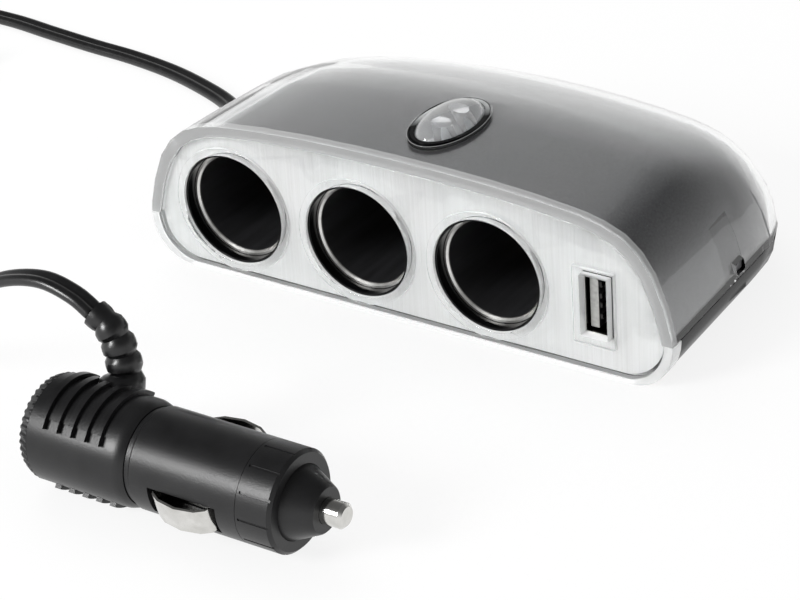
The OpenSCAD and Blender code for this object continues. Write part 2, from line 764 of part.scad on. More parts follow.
module led_lens() {
    w = lamp_w - 2 * bezel_wall - 2 * lens_gap;
    l = lamp_l - 2 * bezel_wall - 2 * lens_gap;
    rings = 6;
    dome_z = case_h - dome_drop;
    color("#eef2f4", 0.4) in_case() translate([lamp_x, lamp_y, 0]) difference() {
        stack(concat([[for (p = oval(w, l)) [p[0], p[1], lamp_floor]]],
            [for (i = [0:rings - 1]) let (a = 90 * i / rings)
                [for (p = oval(w, l))
                    [p[0] * cos(a), p[1] * cos(a), dome_z + (case_h + lens_rise - dome_z) * sin(a)]]],
            [[for (p = oval(w, l)) [p[0] * 0.1, p[1] * 0.1, case_h + lens_rise]]]));
        for (sy = [-1, 1]) translate([0, sy * led_spread / 2, lamp_floor - over])
            cylinder(d = led_w + 4 * lens_gap, h = led_h + over + lens_gap);
    }
}

module led_board() {
    color("#1f5a34") in_case()
        translate([lamp_x - led_board_size[0] / 2, lamp_y - led_board_size[1] / 2, led_board_z])
            cube(led_board_size);
}

module indicator_leds() {
    r = led_w / 2;
    color("#f2f2ea") in_case() for (sy = [-1, 1])
        translate([lamp_x, lamp_y + sy * led_spread / 2, led_board_z + led_board_size[2]])
            rotate_extrude() polygon(concat([[0, 0], [r, 0]],
                [for (a = [0:15:75]) [r * cos(a), led_h - r + r * sin(a)]], [[0, led_h]]));
}

module case_screws() {
    color("#8f9294") in_case() for (p = screw_places)
        translate([p[0], p[1], screw_sink - screw_head_t]) difference() {
            union() {
                cylinder(r = screw_head_r, h = screw_head_t);
                cylinder(r = screw_r, h = screw_head_t + screw_len);
            }
            for (turn = [0, 90]) rotate([0, 0, turn]) translate([-screw_r, -seat_gap * 3, -over])
                cube([2 * screw_r, 6 * seat_gap, over + screw_head_t / 2]);
        }
}

// Cord

// Smooth curve through route points, n steps from one to the next
function smooth(p, n) =
    let (m = len(p) - 1)
    concat([for (i = [0:m - 1], k = [0:n - 1])
        let (a = i > 0 ? p[i - 1] : 2 * p[0] - p[1], d = i < m - 1 ? p[i + 2] : 2 * p[m] - p[m - 1],
            b = p[i], c = p[i + 1], t = k / n)
        b + t * ((c - a) / 2 + t * ((a - 2.5 * b + 2 * c - d / 2) + t * ((3 * (b - c) + d - a) / 2)))],
        [p[m]]);

function unit(v) = v / norm(v);

// Ring of section points at each point of a path, level as a flat cord lies unless told otherwise
function rings_along(path, sections, guide = [0, 0, 1]) =
    let (m = len(path) - 1)
    [for (i = [0:m])
        let (t = unit(path[min(m, i + 1)] - path[max(0, i - 1)]),
            side = unit(cross(guide, t)), up = cross(t, side))
        [for (q = sections[min(i, len(sections) - 1)]) path[i] + q[0] * side + q[1] * up]];

// Closed tube through rings of points
module tube(rings) {
    n = len(rings[0]);
    m = len(rings);
    polyhedron(flat_list(rings), concat(
        [[for (i = [0:n - 1]) i]],
        [for (k = [0:m - 2], i = [0:n - 1])
            let (a = k * n + i, b = k * n + (i + 1) % n)
            each [[a, b + n, b], [a, a + n, b + n]]],
        [[for (i = [n - 1:-1:0]) (m - 1) * n + i]]));
}

// Flat twin section with 8 corners, and a plainer one with 6 for the coil
flat_shares = [[-1, -0.4], [-0.66, -1], [0.66, -1], [1, -0.4], [1, 0.4], [0.66, 1], [-0.66, 1],
    [-1, 0.4]];
coil_shares = [[-1, 0], [-0.6, -1], [0.6, -1], [1, 0], [0.6, 1], [-0.6, 1]];
flat_section = [for (s = flat_shares) [s[0] * cord_w / 2, s[1] * cord_t / 2]];
coil_section = [for (s = coil_shares) [s[0] * cord_w / 2, s[1] * cord_t / 2]];

// The coil spirals in on the floor, climbs a layer and spirals out again
coil_pitch = cord_w + coil_gap;
coil_mid = coil_turns / 2;
function coil_climb(u) = min(1, max(0, (u - coil_mid + 0.25) / 0.5));
function coil_point(u) =
    let (a = coil_start_angle + 360 * u, r = coil_r - coil_pitch * (coil_mid - abs(coil_mid - u)),
        k = coil_climb(u))
    [coil_place[0] + r * cos(a), coil_place[1] + r * sin(a),
        coil_low + (coil_high - coil_low) * k * k * (3 - 2 * k)];
coil_steps = coil_turns * coil_rings;
coil_path = concat([coil_point(0) + [0, cord_w, 0]],
    [for (i = [0:coil_steps]) coil_point(i / coil_rings)],
    [coil_point(coil_turns) + [cord_w, 0, 0]]);
coil_tube = rings_along(coil_path, [coil_section]);
coil_least = min([for (i = [1:coil_steps - coil_rings / 2 + 1])
    min([for (j = [i + coil_rings / 2:min(coil_steps + 1, i + 3 * coil_rings)])
        norm(coil_path[i] - coil_path[j]) > 2 * cord_w ? cord_w
        : min([for (a = coil_tube[i], b = coil_tube[j]) norm(a - b)])])]);
echo(coil_least_gap = coil_least);

module cord_lead() {
    color("#121212") tube(rings_along(smooth(lead_route, 2), [flat_section]));
}

module cord_coil() {
    color("#121212") tube(coil_tube);
}

module cord_tail() {
    color("#121212") tube(rings_along(smooth(tail_route, 2), [flat_section]));
}

module cord_tie() {
    inner_r = coil_r - coil_pitch * coil_mid - cord_w / 2 - tie_t;
    outer_r = coil_r + cord_w / 2 + tie_t;
    low = coil_low - cord_t / 2 - tie_t / 10;
    high = coil_high + cord_t / 2 + tie_t;
    color("#2a2a2a") translate([coil_place[0], coil_place[1], 0]) rotate([0, 0, tie_angle]) difference() {
        translate([inner_r - tie_t, -tie_w / 2, low - tie_t])
            cube([outer_r - inner_r + 2 * tie_t, tie_w, high - low + 2 * tie_t]);
        translate([inner_r, -tie_w, low]) cube([outer_r - inner_r, 2 * tie_w, high - low]);
    }
}

module supply_wires() {
    wire_ring = [for (a = [0:45:315]) [wire_r * cos(a), wire_r * sin(a)]];
    color("#7a1c1c") in_case() tube(rings_along(smooth(plus_route, 2), [wire_ring]));
    color("#1a1a1a") in_case() tube(rings_along(smooth(minus_route, 2), [wire_ring]));
}

module cord_grommet() {
    collar = grommet_collar_x - grommet_in;
    color("#161616") in_case() translate([-grommet_in, lead_y, lead_z]) rotate([0, -90, 0])
        rotate_extrude() polygon([[0, 0], [grommet_flange_r, 0], [grommet_flange_r, grommet_flange_t],
            [grommet_r, grommet_flange_t], [grommet_r, collar], [grommet_collar_r, collar],
            [grommet_collar_r, collar + grommet_flange_t], [grommet_end_r, grommet_x - grommet_in],
            [0, grommet_x - grommet_in]]);
}

// Plug, with its axis turned from Z to X

module in_plug() {
    translate([plug_x, plug_y, plug_z]) rotate([90, 0, 90]) children();
}

// Room for the boot where it passes the grip's wall
module boot_hole() {
    translate([0, 0, boot_s]) rotate([0, 0, boot_angle]) rotate([0, 90, 0])
        cylinder(r = boot_r + seat_gap, h = grip_w);
}

module grip_rib(s, from, sweep) {
    rotate([0, 0, from]) translate([0, 0, s]) rotate_extrude(angle = sweep)
        translate([grip_w / 2 - rib_h, 0]) square([2 * rib_h, rib_w]);
}

// Block at the front end of a rib, a little wider and prouder than the rib
module rib_foot(s) {
    rotate([0, 0, rib_angle + rib_sweep - rib_foot_sweep]) translate([0, 0, s - (rib_foot_w - rib_w) / 2])
        rotate_extrude(angle = rib_foot_sweep) translate([grip_w / 2 - rib_h, 0])
            square([2 * rib_h + rib_foot_h, rib_foot_w]);
}

module plug_grip() {
    r = grip_w / 2;
    color("#1a1a1a") in_plug() difference() {
        union() {
            rotate_extrude() polygon([[grip_bore_r, cap_len], [r, cap_len], [r, grip_len - grip_round],
                [r - grip_round / 5, grip_len - grip_round / 3], [plug_w / 2 - rib_h / 2, grip_len],
                [grip_bore_r, grip_len]]);
            for (i = [0:rib_count - 1]) {
                grip_rib(rib_start + i * rib_pitch, rib_angle, rib_sweep);
                grip_rib(rib_start + i * rib_pitch, rib_low_angle, rib_low_sweep);
                rib_foot(rib_start + i * rib_pitch);
            }
        }
        boot_hole();
    }
}

module plug_end_cap() {
    r = grip_w / 2;
    boss_r = grip_bore_r - seat_gap / 2;
    color("#1a1a1a") in_plug() rotate_extrude() polygon([[0, 0], [r - cap_chamfer, 0],
        [r - cap_chamfer / 3, cap_chamfer / 3], [r, cap_chamfer], [r, cap_len - seat_gap],
        [boss_r, cap_len - seat_gap], [boss_r, cap_len + cap_boss],
        [grip_bore_r - cap_chamfer, cap_len + cap_boss], [grip_bore_r - cap_chamfer, cap_len],
        [0, cap_len]]);
}

module plug_boot() {
    rings = [for (share = boot_shares)
        let (r = boot_r * share) [for (a = [0:24:336]) [r * cos(a), r * sin(a)]]];
    color("#1c1c1c") tube(rings_along(smooth(boot_route, boot_steps), rings, [0, 1, 0]));
}

// Places something at the root of a side contact, with X outwards and Z along the plug
module at_side(turn) {
    rotate([0, 0, side_angle + turn]) children();
}

module plug_barrel() {
    color("#191919") in_plug() difference() {
        rotate_extrude() polygon([[fuse_bore_r, grip_len - tenon_len],
            [grip_bore_r - seat_gap / 2, grip_len - tenon_len],
            [grip_bore_r - seat_gap / 2, grip_len + seat_gap],
            [plug_w / 2 - barrel_groove, grip_len + seat_gap],
            [plug_w / 2 - barrel_groove, grip_len + barrel_groove_w],
            [plug_w / 2, grip_len + barrel_groove_w + barrel_groove], [plug_w / 2, plug_shoulder],
            [neck_r, plug_shoulder], [neck_r, plug_shoulder + neck_len],
            [fuse_bore_r, plug_shoulder + neck_len]]);
        for (turn = [0, 180]) at_side(turn) {
            translate([pocket_r, -side_w / 2 - pocket_gap, side_start - pocket_gap])
                cube([plug_w, side_w + 2 * pocket_gap, side_len + 2 * pocket_gap]);
            translate([pocket_r, -side_w / 2 - leg_gap, grip_len - tenon_len - over])
                cube([leg_t + 2 * leg_gap, side_w + 2 * leg_gap, side_start - grip_len + tenon_len + over]);
        }
    }
}

module plug_ring() {
    color("#151515") in_plug() difference() {
        rotate_extrude() polygon([[neck_r + run_gap, ring_start], [plug_w / 2, ring_start],
            [plug_w / 2, ring_end - ring_lip / 2], [plug_w / 2 - ring_lip / 2, ring_end],
            [cone_r + run_gap, ring_end], [cone_r + run_gap, ring_end - ring_lip],
            [neck_r + run_gap, ring_end - ring_lip]]);
        for (i = [0:ring_grooves - 1]) rotate([0, 0, i * 360 / ring_grooves])
            translate([plug_w / 2 - groove_w / 2, -groove_w / 2, ring_start + groove_w])
                cube([groove_w, groove_w, ring_len]);
    }
}

module plug_nose() {
    color("#171717") in_plug() rotate_extrude() polygon([
        [nose_bore_r, nose_back], [nose_flange_r, nose_back], [nose_flange_r, nose_back + nose_flange_t],
        [cone_r, nose_back + nose_flange_t], [cone_r, ring_end], [cone_end_r, nose_end - seat_gap * 3],
        [cone_end_r - seat_gap * 3, nose_end], [tip_w / 2 + run_gap, nose_end],
        [tip_w / 2 + run_gap, nose_end - nose_stop], [nose_bore_r, nose_end - nose_stop]]);
}

module plug_tip() {
    r = tip_w / 2;
    color("#d4d6d8") in_plug() rotate_extrude() polygon([
        [0, tip_back - tip_tail], [tip_tail_r, tip_back - tip_tail], [tip_tail_r, tip_back],
        [tip_flange_r, tip_back],
        [tip_flange_r, tip_flange_end], [r, tip_flange_end], [r, plug_len - tip_tail_r / 3],
        [r - tip_tail_r / 3, plug_len], [0, plug_len]]);
}

module nose_contact() {
    color("#b08d46") in_plug() translate([0, 0, nose_back])
        cylinder(r = nose_bore_r - run_gap, h = nose_contact_t);
}

module tip_spring() {
    first = nose_back + nose_contact_t + spring_wire_r + seat_gap / 2;
    last = tip_back - spring_wire_r - seat_gap / 2;
    steps = 14 * spring_turns;
    path = [for (i = [0:steps]) let (a = 360 * spring_turns * i / steps)
        [spring_r * cos(a), spring_r * sin(a), first + (last - first) * i / steps]];
    wire_ring = [for (a = [0:60:300]) [spring_wire_r * cos(a), spring_wire_r * sin(a)]];
    color("#a8abad") in_plug() tube(rings_along(path, [wire_ring]));
}

module fuse_glass() {
    color("#dfe6e8", 0.4) in_plug() translate([0, 0, fuse_end - fuse_len + fuse_cap_len])
        cylinder(r = fuse_r - seat_gap, h = fuse_len - 2 * fuse_cap_len);
}

module fuse_caps() {
    color("#c2c5c7") in_plug() for (s = [fuse_end - fuse_len, fuse_end - fuse_cap_len])
        translate([0, 0, s]) cylinder(r = fuse_r, h = fuse_cap_len);
}

module fuse_contact() {
    color("#b08d46") in_plug() translate([0, 0, grip_len - tenon_len]) rotate_extrude() polygon([
        [0, 0], [rivet_r, 0], [fuse_r, fuse_end - fuse_len - grip_len + tenon_len - 2 * bus_t],
        [fuse_r, fuse_end - fuse_len - grip_len + tenon_len - seat_gap / 2],
        [0, fuse_end - fuse_len - grip_len + tenon_len - seat_gap / 2]]);
}

module contact_bridge() {
    back = grip_len - tenon_len - seat_gap / 2 - leg_t;
    color("#c2c5c7") in_plug() difference() {
        for (turn = [0, 180]) at_side(turn) {
            translate([pocket_r + leg_gap, -side_w / 2, back])
                cube([leg_t, side_w, side_start + side_len - back]);
            translate([0, -side_w / 2, back]) cube([pocket_r + leg_t, side_w, leg_t]);
        }
        translate([0, 0, back - over]) cylinder(r = rivet_r + seat_gap, h = 2 * over);
    }
}

module side_contact(turn) {
    lower = [for (p = side_shares)
        [side_base_r + p[1] * (side_rise - side_t), side_start + p[0] * side_len]];
    upper = [for (i = [len(side_shares) - 1:-1:0]) let (p = side_shares[i])
        [side_base_r + side_t + p[1] * (side_rise - side_t), side_start + p[0] * side_len]];
    color("#d0d3d5") in_plug() at_side(turn) translate([0, side_w / 2, 0]) rotate([90, 0, 0])
        linear_extrude(side_w) polygon(concat(lower, upper));
}

base_tray();
top_cover();
inner_shell();
front_panel();
face_plate();
socket_barrel(0);  // socket_barrel_1
socket_barrel(1);  // socket_barrel_2
socket_barrel(2);  // socket_barrel_3
socket_sleeve(0);  // socket_sleeve_1
socket_sleeve(1);  // socket_sleeve_2
socket_sleeve(2);  // socket_sleeve_3
socket_insulator(0);  // socket_insulator_1
socket_insulator(1);  // socket_insulator_2
socket_insulator(2);  // socket_insulator_3
centre_contact(0);  // centre_contact_1
centre_contact(1);  // centre_contact_2
centre_contact(2);  // centre_contact_3
positive_busbar();
negative_busbar();
supply_wires();
usb_shell();
usb_tongue();
usb_contacts();
circuit_board();
inductor();
capacitors();
regulator_chip();
lens_bezel();
led_lens();
led_board();
indicator_leds();
case_screws();
cord_grommet();
cord_lead();
cord_coil();
cord_tail();
cord_tie();
plug_grip();
plug_end_cap();
plug_boot();
plug_barrel();
plug_ring();
plug_nose();
plug_tip();
tip_spring();
nose_contact();
fuse_glass();
fuse_caps();
fuse_contact();
contact_bridge();
side_contact(0);  // side_contact_upper
side_contact(180);  // side_contact_lower
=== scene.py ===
"""Looks of a car power socket splitter: clear domed case, brushed front, flat cord and plug."""

import math

import bmesh
import bpy
from mathutils import Matrix, Vector


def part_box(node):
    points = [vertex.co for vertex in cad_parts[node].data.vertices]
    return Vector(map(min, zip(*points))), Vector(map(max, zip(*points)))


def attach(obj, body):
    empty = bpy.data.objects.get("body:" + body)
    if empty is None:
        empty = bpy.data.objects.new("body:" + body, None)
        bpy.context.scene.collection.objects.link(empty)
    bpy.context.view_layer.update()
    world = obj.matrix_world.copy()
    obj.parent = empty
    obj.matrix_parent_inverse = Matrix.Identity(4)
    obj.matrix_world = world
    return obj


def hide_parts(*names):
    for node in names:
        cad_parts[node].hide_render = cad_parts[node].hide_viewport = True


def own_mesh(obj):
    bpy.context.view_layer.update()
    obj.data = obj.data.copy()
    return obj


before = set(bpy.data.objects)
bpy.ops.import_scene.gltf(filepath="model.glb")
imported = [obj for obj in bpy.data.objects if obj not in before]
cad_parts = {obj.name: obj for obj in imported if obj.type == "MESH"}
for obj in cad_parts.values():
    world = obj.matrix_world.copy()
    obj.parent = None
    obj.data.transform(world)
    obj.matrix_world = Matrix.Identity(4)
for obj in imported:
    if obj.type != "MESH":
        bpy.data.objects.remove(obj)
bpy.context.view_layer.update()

bl_info = {
    "name": "Car Power Socket Splitter",
    "version": (1, 0, 0),
    "blender": (4, 5, 0),
    "location": "View3D > Sidebar > Splitter",
    "description": "Builds the visible pieces and the stage of a car power socket splitter",
    "category": "Object",
}

MM = 0.001
BODY = "case"

# Where a finish changes, or painted shade and light begin, on the solids, in metres: from, to
WELD_FACE_Y = (-34.35 * MM, -34.25 * MM)  # back of the panel, on the cover
# the sleeve's lip, past which its bore is painted dark as shade
SLEEVE_LIP_Y = (-33.8 * MM, -33.3 * MM)
# the outlet's rim, past which its shell is painted dark as shade
OUTLET_RIM_Y = (-35.7 * MM, -34.9 * MM)
TRAY_SEAM_Z = (10.4 * MM, 10.5 * MM)
PLATE_CORNER_X = (50.4 * MM, 59.4 * MM)  # centre and edge of the plate's rounded lower corners
PLATE_CORNER_Z = (10.3 * MM, 1.5 * MM)
# the lamp's opening, and the side of it that takes the cover's painted shade and the bezel's
# painted light
LAMP_CENTRE = (2 * MM, -18 * MM)
LAMP_OPENING = (6.7 * MM, 11.1 * MM)  # half its width and half its length
LAMP_NEAR_WAY = (0.7, -0.72, 0.0)  # from the lamp to the sockets and the outlet
LAMP_NEAR = (9.5 * MM, 14.5 * MM)  # along that way, through the lamp's middle

# Stage: place and side of each lamp in metres, and its share of the lamp power
KEY_LAMP = ((-0.9, 0.6, 1.3), 1.2, 0.7)
FRONT_LAMP = ((-0.6, -1.3, 0.75), 0.5, 1.6)
LAMP_AIM = (0, 0, 0.02)
DIM_CORNER = (0.56, 0.66, 0.5)  # the way to the studio's dim corner, behind on the right
CAMERA_SPOT = Vector((306.8, -471.16, 306.74)) * MM
CAMERA_AIM = Vector((6.636, -46.103, 11.51)) * MM
CAMERA_ROLL = math.radians(-4.0588)
CAMERA_LENS = 137.4  # millimetres, on a sensor 36 mm wide
PAPER_GLOW = 0.85  # share of plain white in the paper where it is seen

# Forms drawn here
MERGE = 1e-6  # metres within which points are one
CAP_CORNER = ((0, 2.4), (0.8, 0.8), (2.4, 0))  # millimetres in from the cap's face, from its rim
CAP_RIM = 2.95 * MM  # reach of the toothed rim
CAP_NECK = (7 * MM, 7.85 * MM)  # reach and radius of the neck in the grip
CAP_HOLLOW = (3 * MM, 5.5 * MM)  # floor and radius of the hollow in the neck
STEPS_PER_TOOTH = 4
TOOTH_GAP = (0.4, 0.9)  # share of a tooth's pitch that is cut away
TOOTH_BAND = (0.9 * MM, 2.6 * MM)  # the teeth's reach in from the rim and from the face
TOOTH_TURN = 0.05  # of a tooth's pitch, by which the teeth are turned
PANEL_ANGLE = 50  # degrees from which the front panel's edges are sharp
CAP_ANGLE = 25  # the same for the end cap
SPRING_STEPS = 24  # in a turn of the tip's spring
ROUTE_STEPS = 6  # between two points of the cord's route
COIL_STEPS = 48  # in a turn of the coil
CLIMB = 0.5  # turns in which the coil climbs to its upper layer
LOBE_ARC = 290  # degrees of each of the cord's two lobes


def linear(colour):
    """sRGB hex code to the linear colour that Blender's sockets take; a linear colour stays."""
    if not isinstance(colour, str):
        return list(colour)
    parts = [int(colour[i:i + 2], 16) / 255 for i in (1, 3, 5)]
    return [p / 12.92 if p <= 0.04045 else ((p + 0.055) / 1.055) ** 2.4 for p in parts] + [1.0]


# Sizes and colours that a user may change

class CordSizes(bpy.types.PropertyGroup):
    """The flat twin cord"""
    width: bpy.props.FloatProperty(
        name="Width", description="Width of the flat cord",
        default=0.0046, unit="LENGTH", subtype="DISTANCE")
    thickness: bpy.props.FloatProperty(
        name="Thickness", description="Thickness of the flat cord",
        default=0.0023, unit="LENGTH", subtype="DISTANCE")
    coil_radius: bpy.props.FloatProperty(
        name="Coil radius", description="Radius of the coil's outer turn",
        default=0.029, unit="LENGTH", subtype="DISTANCE")
    coil_gap: bpy.props.FloatProperty(
        name="Coil gap", description="Gap between neighbouring turns",
        default=0.0005, unit="LENGTH", subtype="DISTANCE")
    coil_turns: bpy.props.FloatProperty(
        name="Coil turns", description="Turns in the stored coil", default=4.25)


class PieceSizes(bpy.types.PropertyGroup):
    """Small forms of the front panel and the plug"""
    panel_edge: bpy.props.FloatProperty(
        name="Panel edge", description="Width of the front panel's broken edges",
        default=0.0004, unit="LENGTH", subtype="DISTANCE")
    cap_teeth: bpy.props.IntProperty(
        name="Cap teeth", description="Teeth round the rim of the plug's end cap",
        default=40, min=3)
    tooth_depth: bpy.props.FloatProperty(
        name="Tooth depth", description="Depth of the end cap's teeth",
        default=0.00035, unit="LENGTH", subtype="DISTANCE")
    spring_wire: bpy.props.FloatProperty(
        name="Spring wire", description="Radius of the wire of the tip's spring",
        default=0.0003, unit="LENGTH", subtype="DISTANCE")
    spring_turns: bpy.props.IntProperty(
        name="Spring turns", description="Turns of the tip's spring", default=3, min=1)


def tone(name, description, code):
    """A colour that a user may change, with an sRGB hex value as its default."""
    return bpy.props.FloatVectorProperty(name=name, description=description, default=linear(code),
                                         size=4, min=0.0, max=1.0, subtype="COLOR")


class FinishColours(bpy.types.PropertyGroup):
    """The darker and lighter tone of each main finish"""
    shell_dark: tone("Shell, dark", "Darker flakes of the grey shell", "#606062")
    shell_light: tone("Shell, light", "Lighter flakes of the grey shell", "#707072")
    plate_dark: tone("Plate, dark", "Darker lines of the brushed plate", "#f4f4f3")
    plate_light: tone("Plate, light", "Lighter lines of the brushed plate", "#ffffff")
    plug_dark: tone("Plug, dark", "Darker tone of the plug's plastic", "#101011")
    plug_light: tone("Plug, light", "Lighter tone of the plug's plastic", "#19191a")
    cord_dark: tone("Cord, dark", "Darker tone of the cord's sheath", "#0e0e0f")
    cord_light: tone("Cord, light", "Lighter tone of the cord's sheath", "#161617")


class StageSizes(bpy.types.PropertyGroup):
    """Floor and lamps"""
    floor_width: bpy.props.FloatProperty(
        name="Floor width", description="Side of the square floor",
        default=8.0, unit="LENGTH", subtype="DISTANCE")
    lamp_power: bpy.props.FloatProperty(
        name="Lamp power", description="Power of a soft lamp whose share is 1",
        default=13.0, unit="POWER")
    world_level: bpy.props.FloatProperty(
        name="World level", description="Brightness of the light from all round", default=0.55)


# Node trees

def put(tree, node, **inputs):
    """Sets inputs of a node, or links them to sockets.

    Each goes by its label, with _ for a space, or where labels repeat by i and its number.
    """
    for key, value in inputs.items():
        which = int(key[1:]) if key[0] == "i" and key[1:].isdigit() else key.replace("_", " ")
        socket = node.inputs[which]
        if isinstance(value, bpy.types.NodeSocket):
            tree.links.new(value, socket)
        else:
            socket.default_value = value


def add(tree, kind, settings=None, get=None, **inputs):
    """Adds a node with its settings and inputs, and returns it, or its output get.

    The setting stops gives a colour ramp its (place, colour) pairs.
    """
    made = tree.nodes.new(kind)
    for key, value in (settings or {}).items():
        if key != "stops":
            setattr(made, key, value)
            continue
        band = made.color_ramp
        while len(band.elements) < len(value):
            band.elements.new(0.5)
        for element, (at, colour) in zip(band.elements, value):
            element.position = at
            element.color = linear(colour)
    put(tree, made, **inputs)
    return made if get is None else made.outputs[get]


def tones(dark, light):
    """Stops from a dark to a light tone over the middle of a noise's range."""
    return {"stops": [(0.3, dark), (0.7, light)]}


def new_material(name):
    """An empty node material and its tree, with the output and a principled shader linked."""
    mat = bpy.data.materials.new(name)
    mat.use_nodes = True
    tree = mat.node_tree
    tree.nodes.clear()
    shader = add(tree, "ShaderNodeBsdfPrincipled")
    add(tree, "ShaderNodeOutputMaterial", Surface=shader.outputs["BSDF"])
    return mat, tree, shader


def grain(tree, size, detail=2.0, stretch=(1, 1, 1)):
    """Noise over the object whose grains are about size across, in metres."""
    where = add(tree, "ShaderNodeTexCoord", get="Object")
    at = add(tree, "ShaderNodeMapping", get="Vector", Vector=where,
             Scale=[s / size for s in stretch])
    return add(tree, "ShaderNodeTexNoise", get="Fac", Vector=at, Scale=1.0, Detail=detail)


def zone(tree, axis, places, **values):
    """0 up to the first of two places on an axis of the object, 1 past the second, or values."""
    where = add(tree, "ShaderNodeTexCoord", get="Object")
    along = add(tree, "ShaderNodeSeparateXYZ", get=axis, Vector=where)
    return add(tree, "ShaderNodeMapRange", get="Result", Value=along,
               From_Min=places[0], From_Max=places[1], **values)


def near_lamp(tree, where):
    """1 on the side of the lamp that turns to the sockets and the outlet, 0 on its far side."""
    along = add(tree, "ShaderNodeVectorMath", {"operation": "DOT_PRODUCT"}, "Value",
                i0=where, i1=LAMP_NEAR_WAY)
    return add(tree, "ShaderNodeMapRange", get="Result", Value=along,
               From_Min=LAMP_NEAR[0], From_Max=LAMP_NEAR[1])


def skinned(name, colours, rough, skin, gloss=None, depth=0.0, **rest):
    """A material whose colour follows one grain, and its roughness and relief that or another.

    Colours and rough are (low, high); skin and gloss are (size, detail, stretch) of a grain.
    """
    mat, tree, shader = new_material(name)
    spots = grain(tree, *skin)
    fine = grain(tree, *gloss) if gloss else spots
    put(tree, shader,
        Base_Color=add(tree, "ShaderNodeValToRGB", tones(*colours), "Color", Fac=spots),
        Roughness=add(tree, "ShaderNodeMapRange", get="Result", Value=fine,
                      To_Min=rough[0], To_Max=rough[1]), **rest)
    if depth:
        put(tree, shader, Normal=add(tree, "ShaderNodeBump", get="Normal", Height=fine,
                                     Distance=depth, Strength=1.0))
    return mat


# Materials, each named for the real one
# A Mix of colours takes its share at input 0 and the colours at 6 and 7, and gives output 2.

def clear_styrene(name):
    """Moulded clear styrene: colourless and glossy, with a faint flow in its tone."""
    mat, tree, shader = new_material(name)
    flow = add(tree, "ShaderNodeValToRGB", {"stops": [(0.0, "#fcfefe"), (1.0, "#ffffff")]},
               "Color", Fac=grain(tree, 18 * MM, 0.0))
    put(tree, shader, Base_Color=flow, IOR=1.5, Roughness=0.02)
    return mat, tree, shader, flow


def clear_cover():
    """Clear cover: frosted where it is welded to the panel, with painted shade, near black, on the
    wall of the lamp's opening on its side towards the sockets.
    """
    mat, tree, shader, flow = clear_styrene("moulded clear styrene, frosted weld face")
    frost = zone(tree, "Y", WELD_FACE_Y, To_Min=0.7, To_Max=1.0)
    # 1 on the wall of the oval opening, on the side that turns to the sockets, where the cover is
    # painted near black as shade and lets no light through
    where = add(tree, "ShaderNodeTexCoord", get="Object")
    oval = add(tree, "ShaderNodeMapping", get="Vector", Vector=where,
               Location=[-c / r for c, r in zip(LAMP_CENTRE, LAMP_OPENING)] + [0],
               Scale=[1 / r for r in LAMP_OPENING] + [0])
    reach = add(tree, "ShaderNodeVectorMath", {"operation": "LENGTH"}, "Value", i0=oval)
    wall = add(tree, "ShaderNodeMapRange", get="Result", Value=reach,
               From_Min=1.03, From_Max=1.06, To_Min=1.0, To_Max=0.0)
    # dark is the painted shade on that wall: near black colour in place of clear styrene
    dark = add(tree, "ShaderNodeMath", {"operation": "MULTIPLY"}, 0,
               i0=wall, i1=near_lamp(tree, where))
    clear = add(tree, "ShaderNodeMath", {"operation": "SUBTRACT", "use_clamp": True}, 0,
                i0=frost, i1=dark)
    colour = add(tree, "ShaderNodeMix", {"data_type": "RGBA"}, 2,
                 i0=dark, i6=flow, i7=linear("#0c0c0d"))
    put(tree, shader, Base_Color=colour, Transmission_Weight=clear)
    return mat


def clear_front():
    """Clear front panel: its cut edges and its rim under the plate gather light and look pale."""
    mat, tree, shader, _ = clear_styrene("moulded clear styrene, bright edges")
    normal = add(tree, "ShaderNodeNewGeometry", get="Normal")
    facing = add(tree, "ShaderNodeMath", {"operation": "ABSOLUTE"}, 0,
                 i0=add(tree, "ShaderNodeSeparateXYZ", get="Y", Vector=normal))
    sides = add(tree, "ShaderNodeMapRange", get="Result", Value=facing,
                From_Min=0.6, From_Max=0.96, To_Min=0.35, To_Max=1.0)
    # reach is 1 on the plate's rounded lower outline, and more beyond it
    spot = add(tree, "ShaderNodeSeparateXYZ", Vector=add(tree, "ShaderNodeTexCoord", get="Object"))
    across = add(tree, "ShaderNodeMath", {"operation": "ABSOLUTE"}, 0, i0=spot.outputs["X"])
    out = add(tree, "ShaderNodeMapRange", {"clamp": False}, "Result", Value=across,
              From_Min=PLATE_CORNER_X[0], From_Max=PLATE_CORNER_X[1])
    down = add(tree, "ShaderNodeMapRange", {"clamp": False}, "Result", Value=spot.outputs["Z"],
               From_Min=PLATE_CORNER_Z[0], From_Max=PLATE_CORNER_Z[1])
    both = add(tree, "ShaderNodeCombineXYZ", get="Vector", X=out, Y=down)
    beyond = add(tree, "ShaderNodeVectorMath", {"operation": "MAXIMUM"}, "Vector", i0=both)
    reach = add(tree, "ShaderNodeVectorMath", {"operation": "LENGTH"}, "Value", i0=beyond)
    rim = add(tree, "ShaderNodeMapRange", get="Result", Value=reach,
              From_Min=1.07, From_Max=1.09, To_Min=1.0, To_Max=0.5)
    put(tree, shader, Transmission_Weight=add(
        tree, "ShaderNodeMath", {"operation": "MINIMUM"}, 0, i0=sides, i1=rim))
    return mat


def smoked_metallic():
    """Metallic dark grey polycarbonate: flake under a soft gloss, drawn coarser to show."""
    chosen = bpy.context.scene.splitter_colours
    return skinned("metallic grey polycarbonate", (chosen.shell_dark, chosen.shell_light),
                   (0.29, 0.34), (0.4 * MM, 1.0), (9 * MM,), Metallic=0.35)


def brushed_aluminium():
    """Brushed aluminium sheet: silvery, with upright lines, drawn coarser to show."""
    chosen = bpy.context.scene.splitter_colours
    return skinned("brushed aluminium sheet", (chosen.plate_dark, chosen.plate_light),
                   (0.36, 0.5), (0.35 * MM, 3.0, (1, 1, 0.012)), depth=0.02 * MM, Metallic=0.1)


